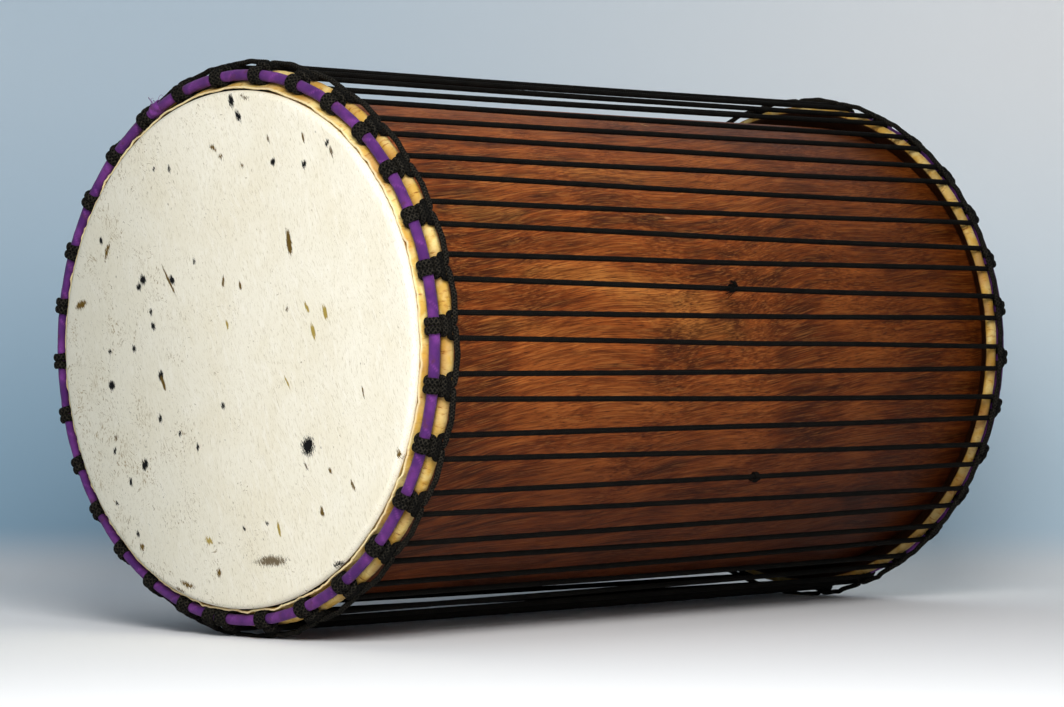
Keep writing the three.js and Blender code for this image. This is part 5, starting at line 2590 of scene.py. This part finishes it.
@dataclass(frozen=True)
class Tie:
    """A short piece of thread tied round a run of the lacing, with frayed tails.

    Attributes:
        name: the piece's name.
        stands_for: the solid that it stands for.
        front_hitch: the run's hitch in front, and the side on which it leaves it.
        back_hitch: the run's hitch at the back, and the side on which it reaches it.
        place: the tie's place along the drum, from its middle.
        tails: its frayed ends.
        turns: how often it goes round the run.
        step: the distance between its turns.
        wrap: how far its middle line lies outside the run.
        knot_lift: how far its knot sits outside the run.
        knot_half: half of the knot's length and width.
        knot_rise: how far the knot's loops rise, and where they start.
        curl: how far a fibre curls aside.
        arch: how far a fibre arches outwards.
        droop: how far its end hangs back in.
        fan: the angle from one fibre to the next, in degrees.
        fibre_half: half of a fibre's thickness at the knot.
        fibre_thins: how much less it is at the end.
        fibre_lumps: how much its thickness varies.
        wound_step: distance between the rings of the turns.
        knot_step: the same of the knot.
        fibre_step: the same of a fibre.
    """

    name: str
    stands_for: str
    front_hitch: tuple[int, int]
    back_hitch: tuple[int, int]
    place: float
    tails: tuple[Tail, ...]
    turns: int = 3
    step: float = 1.75 * MM
    wrap: float = 0.55 * MM
    knot_lift: float = 1.0 * MM
    knot_half: tuple[float, float] = (1.6 * MM, 1.3 * MM)
    knot_rise: tuple[float, float] = (0.7 * MM, 0.3 * MM)
    curl: float = 0.9 * MM
    arch: float = 1.4 * MM
    droop: float = 2.2 * MM
    fan: float = 5.0
    fibre_half: float = 0.62 * MM
    fibre_thins: float = 0.34 * MM
    fibre_lumps: float = 0.2
    wound_step: float = 0.8 * MM
    knot_step: float = 0.6 * MM
    fibre_step: float = 1 * MM

    def build(self, finishes: Finishes) -> None:
        """Builds and dresses the tie.

        Args:
            finishes: the drum's finishes.
        """
        lay = LAYOUT
        start = Lacing().run_end(End.FRONT, *self.front_hitch)
        finish = Lacing().run_end(End.BACK, *self.back_hitch)
        along = (finish - start).normalized()
        middle = start + along * ((self.place - start.x) / along.x)
        outward = Vector((0, middle.y, middle.z - lay.axis_height)).normalized()
        aside = along.cross(outward)
        if aside.z < 0:
            aside = -aside
        reach = lay.rope_radius + self.wrap
        stops = []
        steps = 10
        for i in range(self.turns * steps + 1):
            angle = i / steps * TURN
            way = outward * math.cos(angle) + aside * math.sin(angle)
            s = (i / (self.turns * steps) - 0.5) * self.turns * self.step
            stops.append(Stop(middle + along * s + way * reach, way, Section.THREAD.value))
        wound = Rope(self.name, tuple(stops), sides=8, step=self.wound_step).make()
        finish_piece(wound, finishes.thread, "rope", self.stands_for)
        knot = middle + outward * (lay.rope_radius + self.knot_lift)
        seat = Seat(knot, along, aside, outward)
        self._knot(finishes, seat)
        for number, tail in enumerate(self.tails):
            self._tail(finishes, seat, tail, number)

    def _knot(self, finishes: Finishes, seat: Seat) -> None:
        """Adds the small overhand knot on the outer side.

        Args:
            finishes: the drum's finishes.
            seat: where it sits.
        """
        half_length, half_width = self.knot_half
        rise, start = self.knot_rise
        stops = []
        for i in range(15):
            angle = i / 14 * TURN * 1.5
            way = seat.along * (half_length * math.cos(angle)) + seat.aside * (half_width * math.sin(angle))
            lift = seat.outward * (rise * math.sin(angle * 1.5) + start)
            stops.append(Stop(seat.at + way + lift, seat.outward, Section.THREAD.value))
        piece = Rope(f"{self.name}_knot", tuple(stops), sides=8, step=self.knot_step).make()
        finish_piece(piece, finishes.thread, "rope")

    def _tail(self, finishes: Finishes, seat: Seat, tail: Tail, number: int) -> None:
        """Adds one tail that frays into fibres towards its end.

        Args:
            finishes: the drum's finishes.
            seat: where the knot sits.
            tail: the tail.
            number: its number.
        """
        for fibre in range(tail.fibres):
            spread = (fibre - (tail.fibres - 1) / 2) * self.fan
            angle = degrees(tail.lean + spread)
            way = seat.along * math.cos(angle) + seat.aside * math.sin(angle)
            length = tail.length * (1 - 0.06 * (fibre % 3))
            arch = self.arch * (1 + 0.2 * fibre)
            stops = []
            for k in range(8):
                share = k / 7
                curl = self.curl * wander(fibre * 3.1 + number, share * 2.2) * share
                lift = seat.outward * (arch * math.sin(share * math.pi) - self.droop * share**2)
                half = self.fibre_half - self.fibre_thins * share
                point = seat.at + way * (length * share) + seat.aside * curl + lift
                stops.append(Stop(point, seat.outward, Cut(half, half)))
            name = f"{self.name}_tail_{number}_{fibre}"
            rope = Rope(name, tuple(stops), sides=6, step=self.fibre_step, lumps=self.fibre_lumps)
            finish_piece(rope.make(), finishes.thread, "rope")


TIES = (
    Tie(
        "upper_thread",
        "lacing_tie_upper",
        (24, -1),
        (23, 1),
        -12 * MM,
        (Tail(12.5 * MM, 207, 7), Tail(6.5 * MM, 120, 5), Tail(6 * MM, 70, 2)),
    ),
    Tie(
        "lower_thread",
        "lacing_tie_lower",
        (20, 1),
        (20, -1),
        43 * MM,
        (Tail(9 * MM, 205, 4), Tail(7.5 * MM, 228, 3)),
    ),
)


@dataclass(frozen=True)
class Lamp:
    """A soft square lamp.

    Attributes:
        name: its name.
        place: where it hangs, seen from the camera: right, ahead, up.
        aim: the point that it looks at, in the same way.
        size: its width and height.
        power: its power.
        colour: its colour.
    """

    name: str
    place: tuple[float, float, float]
    aim: tuple[float, float, float]
    size: float
    power: float
    colour: tuple[float, float, float]

    def make(self) -> None:
        """Makes the lamp."""
        turn = Matrix.Rotation(-EYE.yaw, 4, "Z")
        data = bpy.data.lights.new(self.name, "AREA")
        data.shape = "SQUARE"
        data.size = self.size
        data.energy = self.power
        data.color = self.colour
        lamp = bpy.data.objects.new(self.name, data)
        lamp.location = turn @ Vector(self.place)
        way = (turn @ Vector(self.aim)) - lamp.location
        lamp.rotation_euler = way.to_track_quat("-Z", "Y").to_euler()
        bpy.context.scene.collection.objects.link(lamp)


@dataclass
class Studio:
    """The pale floor and backdrop, and the soft lights."""

    half_width: float = 6.0
    front: float = -4.6
    wall: float = 0.78
    bend: float = 0.42
    height: float = 4.2
    bend_steps: int = 16
    columns: int = 9
    lamps: tuple[Lamp, ...] = (
        Lamp("key_softbox", (0.04, -1.68, 1.0), (-0.03, 0.0, 0.2), 0.8, 29.5, (1.0, 0.985, 0.96)),
        Lamp("fill_softbox", (-1.9, -1.5, 0.9), (-0.2, -0.1, 0.25), 1.6, 2.0, (0.96, 0.98, 1.0)),
        Lamp("top_softbox", (0.2, 0.2, 2.6), (0.0, 0.1, 0.2), 2.2, 6.5, (1.0, 1.0, 1.0)),
    )
    sky: Colour = tone(222, 234, 243)
    world_strength: float = 0.16

    def _backdrop(self, finishes: Finishes) -> None:
        """Makes the floor that bends up into the backdrop, square to the camera.

        Args:
            finishes: the drum's finishes.
        """
        profile = [(self.front, 0.0)]
        profile += [(self.wall - self.bend, 0.0)]
        for i in range(1, self.bend_steps + 1):
            angle = i / self.bend_steps * TURN / 4
            away = self.wall - self.bend * (1 - math.sin(angle))
            profile.append((away, self.bend * (1 - math.cos(angle))))
        profile.append((self.wall, self.height))
        turn = Matrix.Rotation(-EYE.yaw, 4, "Z")
        points = []
        for away, up in profile:
            for i in range(self.columns):
                across = (i / (self.columns - 1) - 0.5) * 2 * self.half_width
                points.append(turn @ Vector((across, away, up)))
        faces = []
        for row in range(len(profile) - 1):
            for i in range(self.columns - 1):
                here = row * self.columns + i
                above = here + self.columns
                faces.append((here, here + 1, above + 1, above))
        mesh = bpy.data.meshes.new("backdrop")
        mesh.from_pydata([tuple(point) for point in points], [], faces)
        mesh.polygons.foreach_set("use_smooth", [True] * len(mesh.polygons))
        backdrop = bpy.data.objects.new("backdrop", mesh)
        bpy.context.scene.collection.objects.link(backdrop)
        mesh.materials.append(finishes.backdrop)

    def _world(self) -> bpy.types.World:
        """Makes the pale surroundings, which light the drum less than they show.

        Returns:
            The world.
        """
        world = bpy.data.worlds.new("studio_world")
        world.use_nodes = True
        tree = world.node_tree
        ground = tree.nodes["Background"]
        ground.inputs["Color"].default_value = self.sky
        path = tree.nodes.new("ShaderNodeLightPath")
        seen: Socket = path.outputs["Is Camera Ray"]
        for name in ("Is Glossy Ray", "Is Transmission Ray"):
            either = tree.nodes.new("ShaderNodeMath")
            either.operation = "MAXIMUM"
            tree.links.new(seen, either.inputs[0])
            tree.links.new(path.outputs[name], either.inputs[1])
            seen = either.outputs["Value"]
        strength = tree.nodes.new("ShaderNodeMapRange")
        strength.inputs["To Min"].default_value = self.world_strength
        strength.inputs["To Max"].default_value = 1.0
        tree.links.new(seen, strength.inputs["Value"])
        tree.links.new(strength.outputs["Result"], ground.inputs["Strength"])
        return world

    def build(self, finishes: Finishes) -> None:
        """Builds the floor, the lights and the world.

        Args:
            finishes: the drum's finishes.
        """
        self._backdrop(finishes)
        for lamp in self.lamps:
            lamp.make()
        bpy.context.scene.world = self._world()
        bpy.context.scene.view_settings.view_transform = "Standard"


def build_drum(finishes: Finishes) -> None:
    """Builds the drum's sub-assemblies in the order in which a maker puts them together.

    Args:
        finishes: the drum's finishes.
    """
    lay = LAYOUT
    Shell().build(finishes)
    for end in End:
        side = end.value
        HideHead(end).build(finishes)
        for hoop, radius, depth, rod in (
            ("flesh", lay.flesh_radius, lay.flesh_depth, lay.flesh_rod_radius),
            ("crown", lay.crown_radius, 0.0, lay.crown_rod_radius),
        ):
            rod_name = f"{side}_{hoop}_rod"
            HoopRod(rod_name, end, radius, depth, rod, f"{side}_{hoop}_hoop").build(finishes)
        ClothBinding(end).build(finishes)
        CradleRope(end).build(finishes)
    ClothEnd().build(finishes)
    Lacing().build(finishes)
    for tie in TIES:
        tie.build(finishes)


def main() -> None:
    """Makes the camera, the finishes, the drum and the studio."""
    logging.basicConfig(level=logging.INFO, format="%(name)s %(message)s")
    EYE.make()
    finishes = Finishes()
    build_drum(finishes)
    Studio().build(finishes)


if __name__ == "__main__":
    main()
